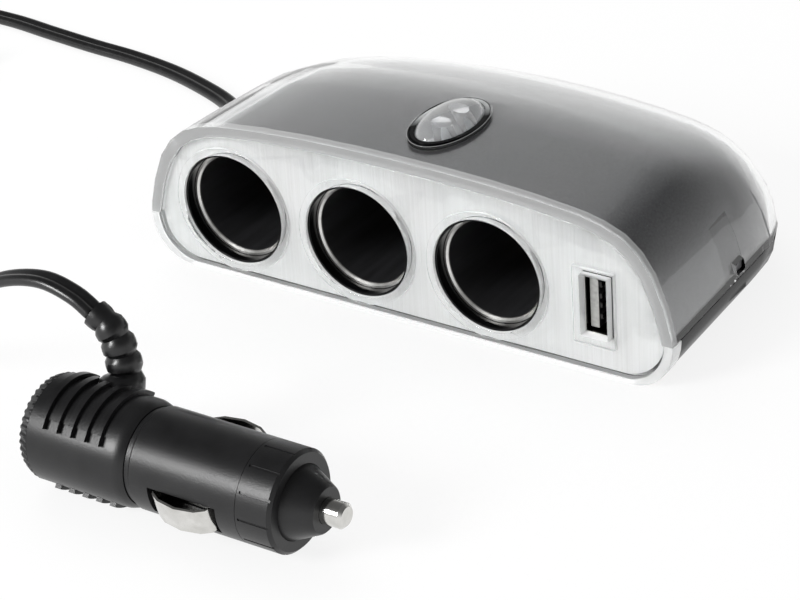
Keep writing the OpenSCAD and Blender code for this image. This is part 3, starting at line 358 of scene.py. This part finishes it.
def tray_abs():
    """The tray's glossy black ABS, with the latches above its seam painted like the shell."""
    mat, tree, shader = new_material("glossy black ABS, grey latches")
    rise = zone(tree, "Z", TRAY_SEAM_Z)
    black = add(tree, "ShaderNodeValToRGB", tones("#060607", "#0d0d0e"), "Color",
                Fac=grain(tree, 6 * MM))
    put(tree, shader, Specular_IOR_Level=0.05,
        Base_Color=add(tree, "ShaderNodeMix", {"data_type": "RGBA"}, 2,
                       i0=rise, i6=black, i7=linear("#6a6a6c")),
        Roughness=add(tree, "ShaderNodeMapRange", get="Result", Value=rise,
                      To_Min=0.18, To_Max=0.32),
        Metallic=add(tree, "ShaderNodeMapRange", get="Result", Value=rise,
                     To_Min=0.0, To_Max=0.3))
    return mat


def black_gloss_abs():
    """Moulded glossy black ABS: deep black with a clean face and faint sink marks."""
    return skinned("glossy black ABS", ("#060607", "#0d0d0e"), (0.14, 0.22), (6 * MM,), (4 * MM,),
                   Specular_IOR_Level=0.15)


def bezel_abs():
    """Black ABS ring round the lens, with painted light: pale grey on the side away from the
    sockets.
    """
    mat, tree, shader = new_material("black ABS, painted light on the far side")
    near = near_lamp(tree, add(tree, "ShaderNodeTexCoord", get="Object"))
    # painted light: pale grey on the far side, the ring's own black on the near side
    lit = add(tree, "ShaderNodeValToRGB", tones("#b4b6b6", "#c6c8c8"), "Color",
              Fac=grain(tree, 2 * MM))
    put(tree, shader, Specular_IOR_Level=0.15,
        Base_Color=add(tree, "ShaderNodeMix", {"data_type": "RGBA"}, 2,
                       i0=near, i6=lit, i7=linear("#0a0a0b")),
        Roughness=add(tree, "ShaderNodeMapRange", get="Result", Value=grain(tree, 4 * MM),
                      To_Min=0.14, To_Max=0.22))
    return mat


def satin_black_abs():
    """Moulded satin black ABS: the spark-eroded grain of plug grips, drawn coarser to show."""
    chosen = bpy.context.scene.splitter_colours
    return skinned("satin black ABS", (chosen.plug_dark, chosen.plug_light), (0.3, 0.38),
                   (5 * MM,), (0.3 * MM,), depth=0.02 * MM, Specular_IOR_Level=0.45)


def nickel_plate():
    """Bright nickel plate over steel: mirror-like, a little warm, faint rolling haze."""
    return skinned("bright nickel plate", ("#c9c8c4", "#dddcd9"), (0.1, 0.18), (3 * MM,),
                   Metallic=1.0)


def outlet_steel():
    """Tinned steel shell of the USB outlet: bright at its cut rim, painted dark grey as shade
    further in.
    """
    mat, tree, shader = new_material("tinned steel, bright rim, painted shade inside")
    # painted shade: the shell's inside is coloured dark grey behind its rim
    dark = add(tree, "ShaderNodeValToRGB", tones("#2c2c2c", "#3c3c3b"), "Color",
               Fac=grain(tree, 3 * MM))
    put(tree, shader, Metallic=1.0,
        Base_Color=add(tree, "ShaderNodeMix", {"data_type": "RGBA"}, 2,
                       i0=zone(tree, "Y", OUTLET_RIM_Y), i6=linear("#dcdcd9"), i7=dark),
        Roughness=add(tree, "ShaderNodeMapRange", get="Result", Value=grain(tree, MM),
                      To_Min=0.16, To_Max=0.26))
    return mat


def tongue_nylon():
    """Black nylon of the outlet's tongue, with painted light on its front end face."""
    mat, tree, shader = new_material("black nylon, painted light on the front face")
    normal = add(tree, "ShaderNodeNewGeometry", get="Normal")
    behind = add(tree, "ShaderNodeMapRange", get="Result", From_Min=-0.8, From_Max=-0.6,
                 Value=add(tree, "ShaderNodeSeparateXYZ", get="Y", Vector=normal))
    skin = grain(tree, MM)
    # painted light: the front end face is coloured pale, the sides keep the nylon's black
    painted_front_light = add(tree, "ShaderNodeValToRGB", tones("#8c8c8a", "#a6a6a3"), "Color", Fac=skin)
    put(tree, shader,
        Base_Color=add(tree, "ShaderNodeMix", {"data_type": "RGBA"}, 2,
                       i0=behind, i6=painted_front_light, i7=linear("#161616")),
        Roughness=add(tree, "ShaderNodeMapRange", get="Result", Value=skin,
                      To_Min=0.35, To_Max=0.45))
    return mat


def socket_steel():
    """Drawn steel sleeve: bright nickel at its flared lip, painted near black as shade down its
    bore, streaked along its depth.
    """
    mat, tree, shader = new_material("drawn steel, nickelled lip, painted shade in the bore")
    bore = zone(tree, "Y", SLEEVE_LIP_Y)
    draw = grain(tree, 1.2 * MM, 2.0, (1, 0.06, 1))
    bright = add(tree, "ShaderNodeValToRGB", tones("#d2d1ce", "#e6e5e2"), "Color", Fac=draw)
    # painted shade: past the lip the bore is coloured near black and loses its metal
    black = add(tree, "ShaderNodeValToRGB", tones("#242425", "#303032"), "Color", Fac=draw)
    put(tree, shader,
        Base_Color=add(tree, "ShaderNodeMix", {"data_type": "RGBA"}, 2,
                       i0=bore, i6=bright, i7=black),
        Metallic=add(tree, "ShaderNodeMapRange", get="Result", Value=bore,
                     To_Min=1.0, To_Max=0.0),
        Roughness=add(tree, "ShaderNodeMapRange", get="Result", Value=draw,
                      To_Min=0.28, To_Max=0.36))
    return mat


def rolled_brass():
    """Rolled brass strip: yellow, slightly tarnished, soft gloss."""
    return skinned("rolled brass", ("#a98441", "#c9a35a"), (0.22, 0.38), (2.5 * MM,), Metallic=1.0)


def pvc_sheath():
    """Soft black PVC sheath: satin gloss that draws a bright line along each lobe."""
    chosen = bpy.context.scene.splitter_colours
    return skinned("soft black PVC", (chosen.cord_dark, chosen.cord_light), (0.28, 0.34),
                   (1.5 * MM,), depth=0.02 * MM, Specular_IOR_Level=0.6)


def inner_piece(name, dark, light, rough):
    """A moulded or pressed inner piece, with a little variation of tone."""
    return skinned(name, (dark, light), (rough, rough + 0.1), (2 * MM,), depth=0.01 * MM)


def solder_mask():
    """Green solder mask on a circuit board: glossy lacquer over faint copper tracks."""
    mat, tree, shader = new_material("green solder mask")
    where = add(tree, "ShaderNodeTexCoord", get="Object")
    at = add(tree, "ShaderNodeMapping", get="Vector", Vector=where, Scale=[1 / (2.2 * MM)] * 3)
    track = add(tree, "ShaderNodeTexVoronoi", {"distance": "CHEBYCHEV"}, "Distance",
                Vector=at, Scale=1.0)
    put(tree, shader, Roughness=0.25,
        Base_Color=add(tree, "ShaderNodeValToRGB",
                       {"stops": [(0.35, "#1d5a35"), (0.5, "#143f26")]}, "Color", Fac=track),
        Normal=add(tree, "ShaderNodeBump", get="Normal", Height=track, Distance=0.02 * MM,
                   Strength=1.0))
    return mat


def window_glass(name, tint):
    """Clear hard piece, such as a lens or a fuse's glass, with faint flow in it."""
    mat, tree, shader = new_material(name)
    put(tree, shader, Transmission_Weight=0.8, IOR=1.5, Roughness=0.03,
        Base_Color=add(tree, "ShaderNodeValToRGB", tones(tint, "#ffffff"), "Color",
                       Fac=grain(tree, 5 * MM)))
    return mat


RECIPES = {
    "cover": clear_cover,
    "front": clear_front,
    "shell": smoked_metallic,
    "plate": brushed_aluminium,
    "gloss": black_gloss_abs,
    "tray": tray_abs,
    "satin": satin_black_abs,
    "bezel": bezel_abs,
    "nickel": nickel_plate,
    "sleeve": socket_steel,
    "outlet": outlet_steel,
    "tongue": tongue_nylon,
    "brass": rolled_brass,
    "sheath": pvc_sheath,
    "mask": solder_mask,
    "lens": lambda: window_glass("clear polycarbonate lens", "#f6f8fa"),
    "fuse": lambda: window_glass("fuse glass", "#f2f6f6"),
    "white mask": lambda: inner_piece("white solder mask", "#dcdcd8", "#eeeeea", 0.3),
    "board": lambda: inner_piece("pressed fibre board", "#5c4330", "#745640", 0.6),
    "ferrite": lambda: inner_piece("sintered ferrite", "#2a2a2c", "#38383a", 0.6),
    "can": lambda: inner_piece("printed capacitor sleeve", "#1c2746", "#273358", 0.35),
    "chip": lambda: inner_piece("moulded epoxy", "#161616", "#202020", 0.5),
    "wire": lambda: inner_piece("coloured wire sheath", "#6d1414", "#821d1d", 0.4),
    "diode": lambda: inner_piece("frosted lamp epoxy", "#e9eef0", "#f8fafa", 0.15),
}
MATERIALS = {}


def material(name):
    """Makes each material once."""
    if name not in MATERIALS:
        MATERIALS[name] = RECIPES[name]()
    return MATERIALS[name]


# Shading and carrying-over of the frame's nodes

def shading_group(degrees):
    """Merges a mesh's loose triangles and shades it smooth but for edges past an angle."""
    name = "smooth under %d degrees" % degrees
    if name in bpy.data.node_groups:
        return bpy.data.node_groups[name]
    tree = bpy.data.node_groups.new(name, "GeometryNodeTree")
    for way in ("INPUT", "OUTPUT"):
        tree.interface.new_socket("Geometry", in_out=way, socket_type="NodeSocketGeometry")
    start = add(tree, "NodeGroupInput", get=0)
    merged = add(tree, "GeometryNodeMergeByDistance", get=0, Geometry=start, Distance=MERGE)
    smooth = add(tree, "GeometryNodeSetShadeSmooth", {"domain": "FACE"}, 0, Geometry=merged)
    angle = add(tree, "GeometryNodeInputMeshEdgeAngle", get="Unsigned Angle")
    sharp = add(tree, "FunctionNodeCompare", {"operation": "GREATER_THAN"}, 0,
                i0=angle, i1=math.radians(degrees))
    edges = add(tree, "GeometryNodeSetShadeSmooth", {"domain": "EDGE"}, 0, Geometry=smooth,
                Selection=sharp, Shade_Smooth=False)
    add(tree, "NodeGroupOutput", i0=edges)
    return tree


def dress(node, look, degrees=30):
    """Gives a frame node its material and smooth shading."""
    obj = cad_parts[node]
    obj.data.materials.clear()
    obj.data.materials.append(material(look))
    shade = obj.modifiers.new("Shading", "NODES")
    shade.node_group = shading_group(degrees)
    return obj


def dress_all(looks):
    """Gives each frame node in a list of (node, look) its material and smooth shading."""
    for node, look in looks:
        dress(node, look)


def round_edges(obj, width, degrees):
    """Breaks a clear piece's sharp edges, as its mould does, before it is shaded."""
    merge = obj.modifiers.new("Merge", "WELD")
    merge.merge_threshold = MERGE
    soften = obj.modifiers.new("Edges", "BEVEL")
    soften.width = width
    soften.segments = 2
    soften.limit_method = "ANGLE"
    soften.angle_limit = math.radians(degrees)
    soften.use_clamp_overlap = True
    obj.modifiers.move(len(obj.modifiers) - 2, 0)
    obj.modifiers.move(len(obj.modifiers) - 1, 1)


def finish_piece(name, bm, look, body=BODY, replaced=()):
    """Turns a bmesh into a piece that rides on a body and takes its finish from a slot."""
    mesh = bpy.data.meshes.new(name)
    bm.to_mesh(mesh)
    bm.free()
    for face in mesh.polygons:
        face.use_smooth = True
    mesh.materials.append(material(look))
    obj = bpy.data.objects.new(name, mesh)
    bpy.context.scene.collection.objects.link(obj)
    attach(obj, body)
    if replaced:
        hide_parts(*replaced)
    return obj


# The cord's route, the same points as the solids have, in millimetres

LEAD_ROUTE = [(-66, 13.5, 5.8), (-71.5, 13.6, 5.6), (-77.5, 16.8, 3.8), (-83, 22, 1.9),
              (-89.5, 27.2, 1.2), (-98, 31, 1.2), (-111, 35.1, 1.2), (-125, 37.5, 1.2),
              (-138, 38.5, 1.2), (-152, 40, 1.2), (-166, 41.6, 1.2), (-180, 41, 1.2),
              (-192.5, 35.5, 1.2), (-200.5, 25, 1.2), (-204.4, 12.5, 1.45), (-205, 1, 1.7),
              (-205, -7.4, 1.75)]
TAIL_ROUTE = [(-171.4, -41, 4.55), (-165.5, -41.3, 4.3), (-158, -43.8, 2.9), (-150.5, -49.1, 1.6),
              (-143, -57.2, 1.2), (-135, -66.1, 1.2), (-126.5, -75, 1.2), (-117.5, -82.9, 1.2),
              (-108, -89.3, 1.2), (-98, -94.4, 1.5), (-88.5, -98.2, 3.3), (-80, -100.9, 6.9),
              (-72, -102.9, 12), (-64, -104, 18.2), (-56, -104.5, 24.6), (-48, -104.6, 30.2),
              (-40, -104.6, 34), (-32, -104.6, 35.6), (-25.2, -104.6, 34.2), (-20.7, -104.6, 31.6)]
COIL_CENTRE = (-176, -12)
COIL_LOW = 1.75


def smooth_route(points, steps):
    """A smooth curve through the given points, in metres."""
    p = [Vector(q) * MM for q in points]
    m = len(p) - 1
    route = []
    for i in range(m):
        a = p[i - 1] if i > 0 else 2 * p[0] - p[1]
        b, c = p[i], p[i + 1]
        d = p[i + 2] if i < m - 1 else 2 * p[m] - p[m - 1]
        for k in range(steps):
            t = k / steps
            route.append(b + t * ((c - a) / 2 + t * ((a - 2.5 * b + 2 * c - d / 2)
                                                     + t * ((3 * (b - c) + d - a) / 2))))
    return route + [p[m]]


def coil_route(sizes):
    """The coil: in on the floor, up a layer and out again, in metres."""
    pitch = sizes.width + sizes.coil_gap
    middle = sizes.coil_turns / 2
    low = COIL_LOW * MM
    rise = sizes.thickness + sizes.coil_gap
    route = []
    for i in range(round(sizes.coil_turns * COIL_STEPS) + 1):
        u = i / COIL_STEPS
        angle = math.pi + 2 * math.pi * u
        radius = sizes.coil_radius - pitch * (middle - abs(middle - u))
        climb = min(1, max(0, (u - middle + CLIMB / 2) / CLIMB))
        route.append(Vector((COIL_CENTRE[0] * MM + radius * math.cos(angle),
                             COIL_CENTRE[1] * MM + radius * math.sin(angle),
                             low + rise * climb * climb * (3 - 2 * climb))))
    return route


def twin_section(width, thickness, per_lobe=10):
    """Figure-of-eight outline of a flat twin cord, as (across, up) pairs."""
    r = thickness / 2
    shift = width / 2 - r
    outline = []
    for side in (1, -1):
        for i in range(per_lobe):
            a = math.radians(-LOBE_ARC / 2 + LOBE_ARC * i / (per_lobe - 1))
            outline.append((side * (shift + r * math.cos(a)), side * r * math.sin(a)))
    return outline


def sweep(bm, path, section):
    """Draws a closed tube along a path by extruding its first ring, its width kept level."""
    ring = []
    edges = []
    for i, here in enumerate(path):
        heading = (path[min(i + 1, len(path) - 1)] - path[max(i - 1, 0)]).normalized()
        across = Vector((0, 0, 1)).cross(heading).normalized()
        up = heading.cross(across)
        spots = [here + across * a + up * b for a, b in section]
        if not ring:
            ring = [bm.verts.new(spot) for spot in spots]
            edges = [bm.edges.new((ring[j], ring[(j + 1) % len(ring)])) for j in range(len(ring))]
            bmesh.ops.contextual_create(bm, geom=edges)
            continue
        grown = bmesh.ops.extrude_edge_only(bm, edges=edges)["geom"]
        edges = [g for g in grown if isinstance(g, bmesh.types.BMEdge) and g.is_boundary]
        # the new ring's points, in the order of the ring that they grew from
        order = {v: j for j, v in enumerate(ring)}
        follow = {}
        for v in (g for g in grown if isinstance(g, bmesh.types.BMVert)):
            for e in v.link_edges:
                other = e.other_vert(v)
                if other in order:
                    follow[order[other]] = v
        ring = [follow[j] for j in range(len(spots))]
        for v, spot in zip(ring, spots):
            v.co = spot
    bmesh.ops.contextual_create(bm, geom=edges)
    bmesh.ops.recalc_face_normals(bm, faces=bm.faces)


# One operator for each piece or group of like pieces

class SPLITTER_OT_stage(bpy.types.Operator):
    """Puts up the floor, the soft lamps, the world and the camera"""
    bl_idname = "splitter.stage"
    bl_label = "Stage"

    def execute(self, context):
        sizes = context.scene.splitter_stage
        self.floor(context, sizes.floor_width)
        key = self.lamp(context, "key lamp", KEY_LAMP, sizes.lamp_power)
        key.visible_glossy = False
        key.visible_transmission = False
        self.lamp(context, "front lamp", FRONT_LAMP, sizes.lamp_power)
        self.world(context, sizes.world_level)
        self.camera(context)
        context.scene.view_settings.view_transform = "Standard"
        return {"FINISHED"}

    def floor(self, context, width):
        """The paper floor under the object."""
        bm = bmesh.new()
        bmesh.ops.create_grid(bm, x_segments=1, y_segments=1, size=width / 2)
        mesh = bpy.data.meshes.new("floor")
        bm.to_mesh(mesh)
        bm.free()
        mesh.materials.append(self.paper())
        floor = bpy.data.objects.new("floor", mesh)
        context.scene.collection.objects.link(floor)

    def paper(self):
        """White paper that keeps the object's shadow and is lifted where it is seen."""
        mat, tree, shader = new_material("white paper sweep")
        put(tree, shader, Base_Color=linear("#f4f4f4"), Roughness=0.9, Specular_IOR_Level=0.1)
        glow = add(tree, "ShaderNodeEmission", get=0, Color=linear("#ffffff"), Strength=1.0)
        ray = add(tree, "ShaderNodeLightPath").outputs
        seen = add(tree, "ShaderNodeMath", {"operation": "ADD"}, 0,
                   i0=ray["Is Camera Ray"], i1=ray["Is Glossy Ray"])
        shown = add(tree, "ShaderNodeMath", {"operation": "ADD", "use_clamp": True}, 0,
                    i0=seen, i1=ray["Is Transmission Ray"])
        share = add(tree, "ShaderNodeMath", {"operation": "MULTIPLY"}, 0, i0=shown, i1=PAPER_GLOW)
        mixed = add(tree, "ShaderNodeMixShader", get=0, Fac=share,
                    i1=shader.outputs["BSDF"], i2=glow)
        put(tree, tree.nodes["Material Output"], Surface=mixed)
        return mat

    def lamp(self, context, name, form, power):
        """A square soft lamp aimed at the middle of the case."""
        spot, side, share = form
        data = bpy.data.lights.new(name, "AREA")
        data.shape = "SQUARE"
        data.size = side
        data.energy = power * share
        obj = bpy.data.objects.new(name, data)
        obj.location = spot
        obj.rotation_euler = (Vector(LAMP_AIM) - Vector(spot)).to_track_quat("-Z", "Y").to_euler()
        context.scene.collection.objects.link(obj)
        return obj

    def world(self, context, level):
        """Even light from all round, which each kind of ray sees as its own room.

        The camera sees white, clear plastic a white studio with one dim corner, and gloss a
        white table under a dimmer ceiling.
        """
        world = bpy.data.worlds.new("studio")
        context.scene.world = world
        world.use_nodes = True
        tree = world.node_tree
        tree.nodes.clear()
        light = add(tree, "ShaderNodeBackground", get=0, Color=[level] * 3 + [1.0], Strength=1.0)
        white = add(tree, "ShaderNodeBackground", get=0, Color=linear("#ffffff"), Strength=1.0)
        way = add(tree, "ShaderNodeTexCoord", get="Generated")
        corner = add(tree, "ShaderNodeVectorMath", {"operation": "DOT_PRODUCT"}, "Value",
                     i0=way, i1=DIM_CORNER)
        room = add(tree, "ShaderNodeBackground", get=0, Strength=1.0, Color=add(
            tree, "ShaderNodeValToRGB", {"stops": [
                (0.4, "#ffffff"), (0.74, "#ececec"), (0.92, "#2c2c2c"), (1.0, "#101010")]},
            "Color", Fac=corner))
        height = add(tree, "ShaderNodeSeparateXYZ", get="Z", Vector=way)
        above = add(tree, "ShaderNodeBackground", get=0, Strength=1.0, Color=add(
            tree, "ShaderNodeValToRGB", {"stops": [
                (0.0, "#ffffff"), (0.18, "#dcdcdc"), (0.5, "#6e6e6e"), (1.0, "#565656")]},
            "Color", Fac=height))
        ray = add(tree, "ShaderNodeLightPath").outputs
        gloss = add(tree, "ShaderNodeMixShader", get=0, Fac=ray["Is Glossy Ray"],
                    i1=light, i2=above)
        mixed = add(tree, "ShaderNodeMixShader", get=0, Fac=ray["Is Transmission Ray"],
                    i1=gloss, i2=room)
        shown = add(tree, "ShaderNodeMixShader", get=0, Fac=ray["Is Camera Ray"],
                    i1=mixed, i2=white)
        add(tree, "ShaderNodeOutputWorld", Surface=shown)

    def camera(self, context):
        """The photograph's viewpoint: 34.3 degrees round to the right, 28 up, 4.1 rolled."""
        spot, aim = CAMERA_SPOT, CAMERA_AIM
        data = bpy.data.cameras.new("camera")
        data.lens = CAMERA_LENS
        data.sensor_width = 36
        data.clip_start = 0.01
        obj = bpy.data.objects.new("camera", data)
        turn = (aim - spot).to_track_quat("-Z", "Y").to_matrix()
        turn = turn @ Matrix.Rotation(CAMERA_ROLL, 3, "Z")
        obj.matrix_world = Matrix.Translation(spot) @ turn.to_4x4()
        context.scene.collection.objects.link(obj)
        context.scene.camera = obj


class SPLITTER_OT_cord(bpy.types.Operator):
    """Lays the flat twin cord from the case through its coil to the plug's boot"""
    bl_idname = "splitter.cord"
    bl_label = "Cord"

    def execute(self, context):
        sizes = context.scene.splitter_cord
        path = (smooth_route(LEAD_ROUTE, ROUTE_STEPS)[:-1] + coil_route(sizes)
                + smooth_route(TAIL_ROUTE, ROUTE_STEPS)[1:])
        bm = bmesh.new()
        sweep(bm, path, twin_section(sizes.width, sizes.thickness))
        cord = finish_piece("flat_cord", bm, "sheath",
                            replaced=("cord_lead", "cord_coil", "cord_tail"))
        return {"FINISHED"}


class SPLITTER_OT_case(bpy.types.Operator):
    """Finishes the clear cover, the dark shell, the base and the front"""
    bl_idname = "splitter.case"
    bl_label = "Case"

    def execute(self, context):
        dress_all((("top_cover", "cover"), ("inner_shell", "shell"), ("base_tray", "tray")))
        front = dress("front_panel", "front", PANEL_ANGLE)
        round_edges(front, context.scene.splitter_pieces.panel_edge, PANEL_ANGLE)
        dress_all((("face_plate", "plate"), ("case_screws", "nickel")))
        return {"FINISHED"}


class SPLITTER_OT_sockets(bpy.types.Operator):
    """Finishes the three lighter sockets and what joins them"""
    bl_idname = "splitter.sockets"
    bl_label = "Sockets"

    def execute(self, context):
        for i in (1, 2, 3):
            dress_all((("socket_barrel_%d" % i, "gloss"), ("socket_sleeve_%d" % i, "sleeve"),
                       ("socket_insulator_%d" % i, "board"), ("centre_contact_%d" % i, "brass")))
        dress_all((("positive_busbar", "brass"), ("negative_busbar", "brass"),
                   ("supply_wires", "wire")))
        return {"FINISHED"}


class SPLITTER_OT_usb(bpy.types.Operator):
    """Finishes the USB outlet and its circuit board"""
    bl_idname = "splitter.usb"
    bl_label = "USB outlet"

    def execute(self, context):
        dress_all((("usb_shell", "outlet"), ("usb_tongue", "tongue"), ("usb_contacts", "nickel"),
                   ("circuit_board", "mask"), ("inductor", "ferrite"), ("capacitors", "can"),
                   ("regulator_chip", "chip")))
        return {"FINISHED"}


class SPLITTER_OT_lamp(bpy.types.Operator):
    """Finishes the lamp in the roof"""
    bl_idname = "splitter.lamp"
    bl_label = "Lamp"

    def execute(self, context):
        dress("led_lens", "lens", 40)
        dress("lens_bezel", "bezel")
        dress("led_board", "white mask")
        dress("indicator_leds", "diode", 40)
        return {"FINISHED"}


class SPLITTER_OT_plug(bpy.types.Operator):
    """Finishes the lighter plug, its boot and the band round the coil"""
    bl_idname = "splitter.plug"
    bl_label = "Plug"

    def execute(self, context):
        dress_all((("plug_grip", "satin"), ("plug_barrel", "satin"), ("plug_ring", "satin"),
                   ("plug_nose", "satin"), ("plug_tip", "nickel"), ("nose_contact", "brass"),
                   ("fuse_glass", "fuse"), ("fuse_caps", "nickel"), ("fuse_contact", "brass"),
                   ("contact_bridge", "nickel"), ("side_contact_upper", "nickel"),
                   ("side_contact_lower", "nickel"), ("cord_grommet", "sheath"),
                   ("plug_boot", "sheath"), ("cord_tie", "sheath")))
        sizes = context.scene.splitter_pieces
        self.end_cap(sizes.cap_teeth, sizes.tooth_depth)
        self.tip_coil(sizes.spring_wire, sizes.spring_turns)
        return {"FINISHED"}

    def end_cap(self, teeth, depth):
        """The grip's end cap, with fine teeth round its rim to turn it by."""
        low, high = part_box("plug_end_cap")
        mid = (low + high) / 2
        rim = (high.y - low.y) / 2
        reach, neck = CAP_NECK
        bottom, hollow = CAP_HOLLOW
        profile = ([(0, 0)] + [(x * MM, rim - r * MM) for x, r in CAP_CORNER]
                   + [(CAP_RIM, rim), (CAP_RIM, neck), (reach, neck),
                      (reach, hollow), (bottom, hollow), (bottom, 0)])
        bm = bmesh.new()
        line = [bm.verts.new((low.x + x, mid.y, mid.z + r)) for x, r in profile]
        edges = [bm.edges.new(pair) for pair in zip(line, line[1:])]
        bmesh.ops.spin(bm, geom=line + edges, cent=mid, axis=(1, 0, 0), angle=2 * math.pi,
                       steps=teeth * STEPS_PER_TOOTH, use_merge=True)
        bmesh.ops.remove_doubles(bm, verts=bm.verts, dist=MERGE)
        bmesh.ops.recalc_face_normals(bm, faces=bm.faces)
        # the outer points of the corner go in between the teeth
        for vert in bm.verts:
            out = Vector((0, vert.co.y - mid.y, vert.co.z - mid.z))
            if rim - TOOTH_BAND[0] < out.length and vert.co.x < low.x + TOOTH_BAND[1]:
                share = math.atan2(out.z, out.y) / (2 * math.pi) * teeth
                if TOOTH_GAP[0] < (share + TOOTH_TURN) % 1 < TOOTH_GAP[1]:
                    vert.co -= out.normalized() * depth
        cap = finish_piece("end_cap", bm, "satin", replaced=("plug_end_cap",))
        edge = cap.modifiers.new("Edges", "EDGE_SPLIT")
        edge.split_angle = math.radians(CAP_ANGLE)

    def tip_coil(self, wire, turns):
        """The tip's spring, drawn at its full length; the real one flattens as the tip goes in."""
        low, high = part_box("tip_spring")
        mid = (low + high) / 2
        room = high.x - low.x
        steps = SPRING_STEPS * turns
        start = Vector((low.x + wire, mid.y, high.z - wire))
        bm = bmesh.new()
        ring = bmesh.ops.create_circle(
            bm, segments=8, radius=wire, cap_ends=False,
            matrix=Matrix.Translation(start) @ Matrix.Rotation(math.pi / 2, 4, "X"))
        pitch = (room - 2 * wire) / steps
        bmesh.ops.spin(bm, geom=ring["verts"] + bm.edges[:], cent=mid, axis=(1, 0, 0),
                       dvec=(pitch, 0, 0), angle=2 * math.pi * turns, steps=steps)
        bmesh.ops.holes_fill(bm, edges=[e for e in bm.edges if e.is_boundary], sides=8)
        bmesh.ops.recalc_face_normals(bm, faces=bm.faces)
        coil = finish_piece("tip_coil", bm, "nickel", "nose", ("tip_spring",))
        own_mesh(coil)


class SPLITTER_PT_pieces(bpy.types.Panel):
    """Lists the steps that build the splitter and the values that they use"""
    bl_idname = "SPLITTER_PT_pieces"
    bl_label = "Power Socket Splitter"
    bl_space_type = "VIEW_3D"
    bl_region_type = "UI"
    bl_category = "Splitter"

    def draw(self, context):
        for step in STEPS:
            self.layout.operator(step.bl_idname)
        for name, group in GROUPS.items():
            for key in group.__annotations__:
                self.layout.prop(getattr(context.scene, name), key)


STEPS = [SPLITTER_OT_stage, SPLITTER_OT_cord, SPLITTER_OT_case, SPLITTER_OT_sockets,
         SPLITTER_OT_usb, SPLITTER_OT_lamp, SPLITTER_OT_plug]
GROUPS = {"splitter_cord": CordSizes, "splitter_pieces": PieceSizes,
          "splitter_colours": FinishColours, "splitter_stage": StageSizes}
CLASSES = list(GROUPS.values()) + STEPS + [SPLITTER_PT_pieces]


def register():
    for cls in CLASSES:
        bpy.utils.register_class(cls)
    for name, group in GROUPS.items():
        setattr(bpy.types.Scene, name, bpy.props.PointerProperty(type=group))


def unregister():
    for name in GROUPS:
        delattr(bpy.types.Scene, name)
    for cls in reversed(CLASSES):
        bpy.utils.unregister_class(cls)


def main():
    """Registers the add-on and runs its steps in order."""
    register()
    bpy.ops.splitter.stage()
    bpy.ops.splitter.cord()
    bpy.ops.splitter.case()
    bpy.ops.splitter.sockets()
    bpy.ops.splitter.usb()
    bpy.ops.splitter.lamp()
    bpy.ops.splitter.plug()


if __name__ == "__main__":
    main()
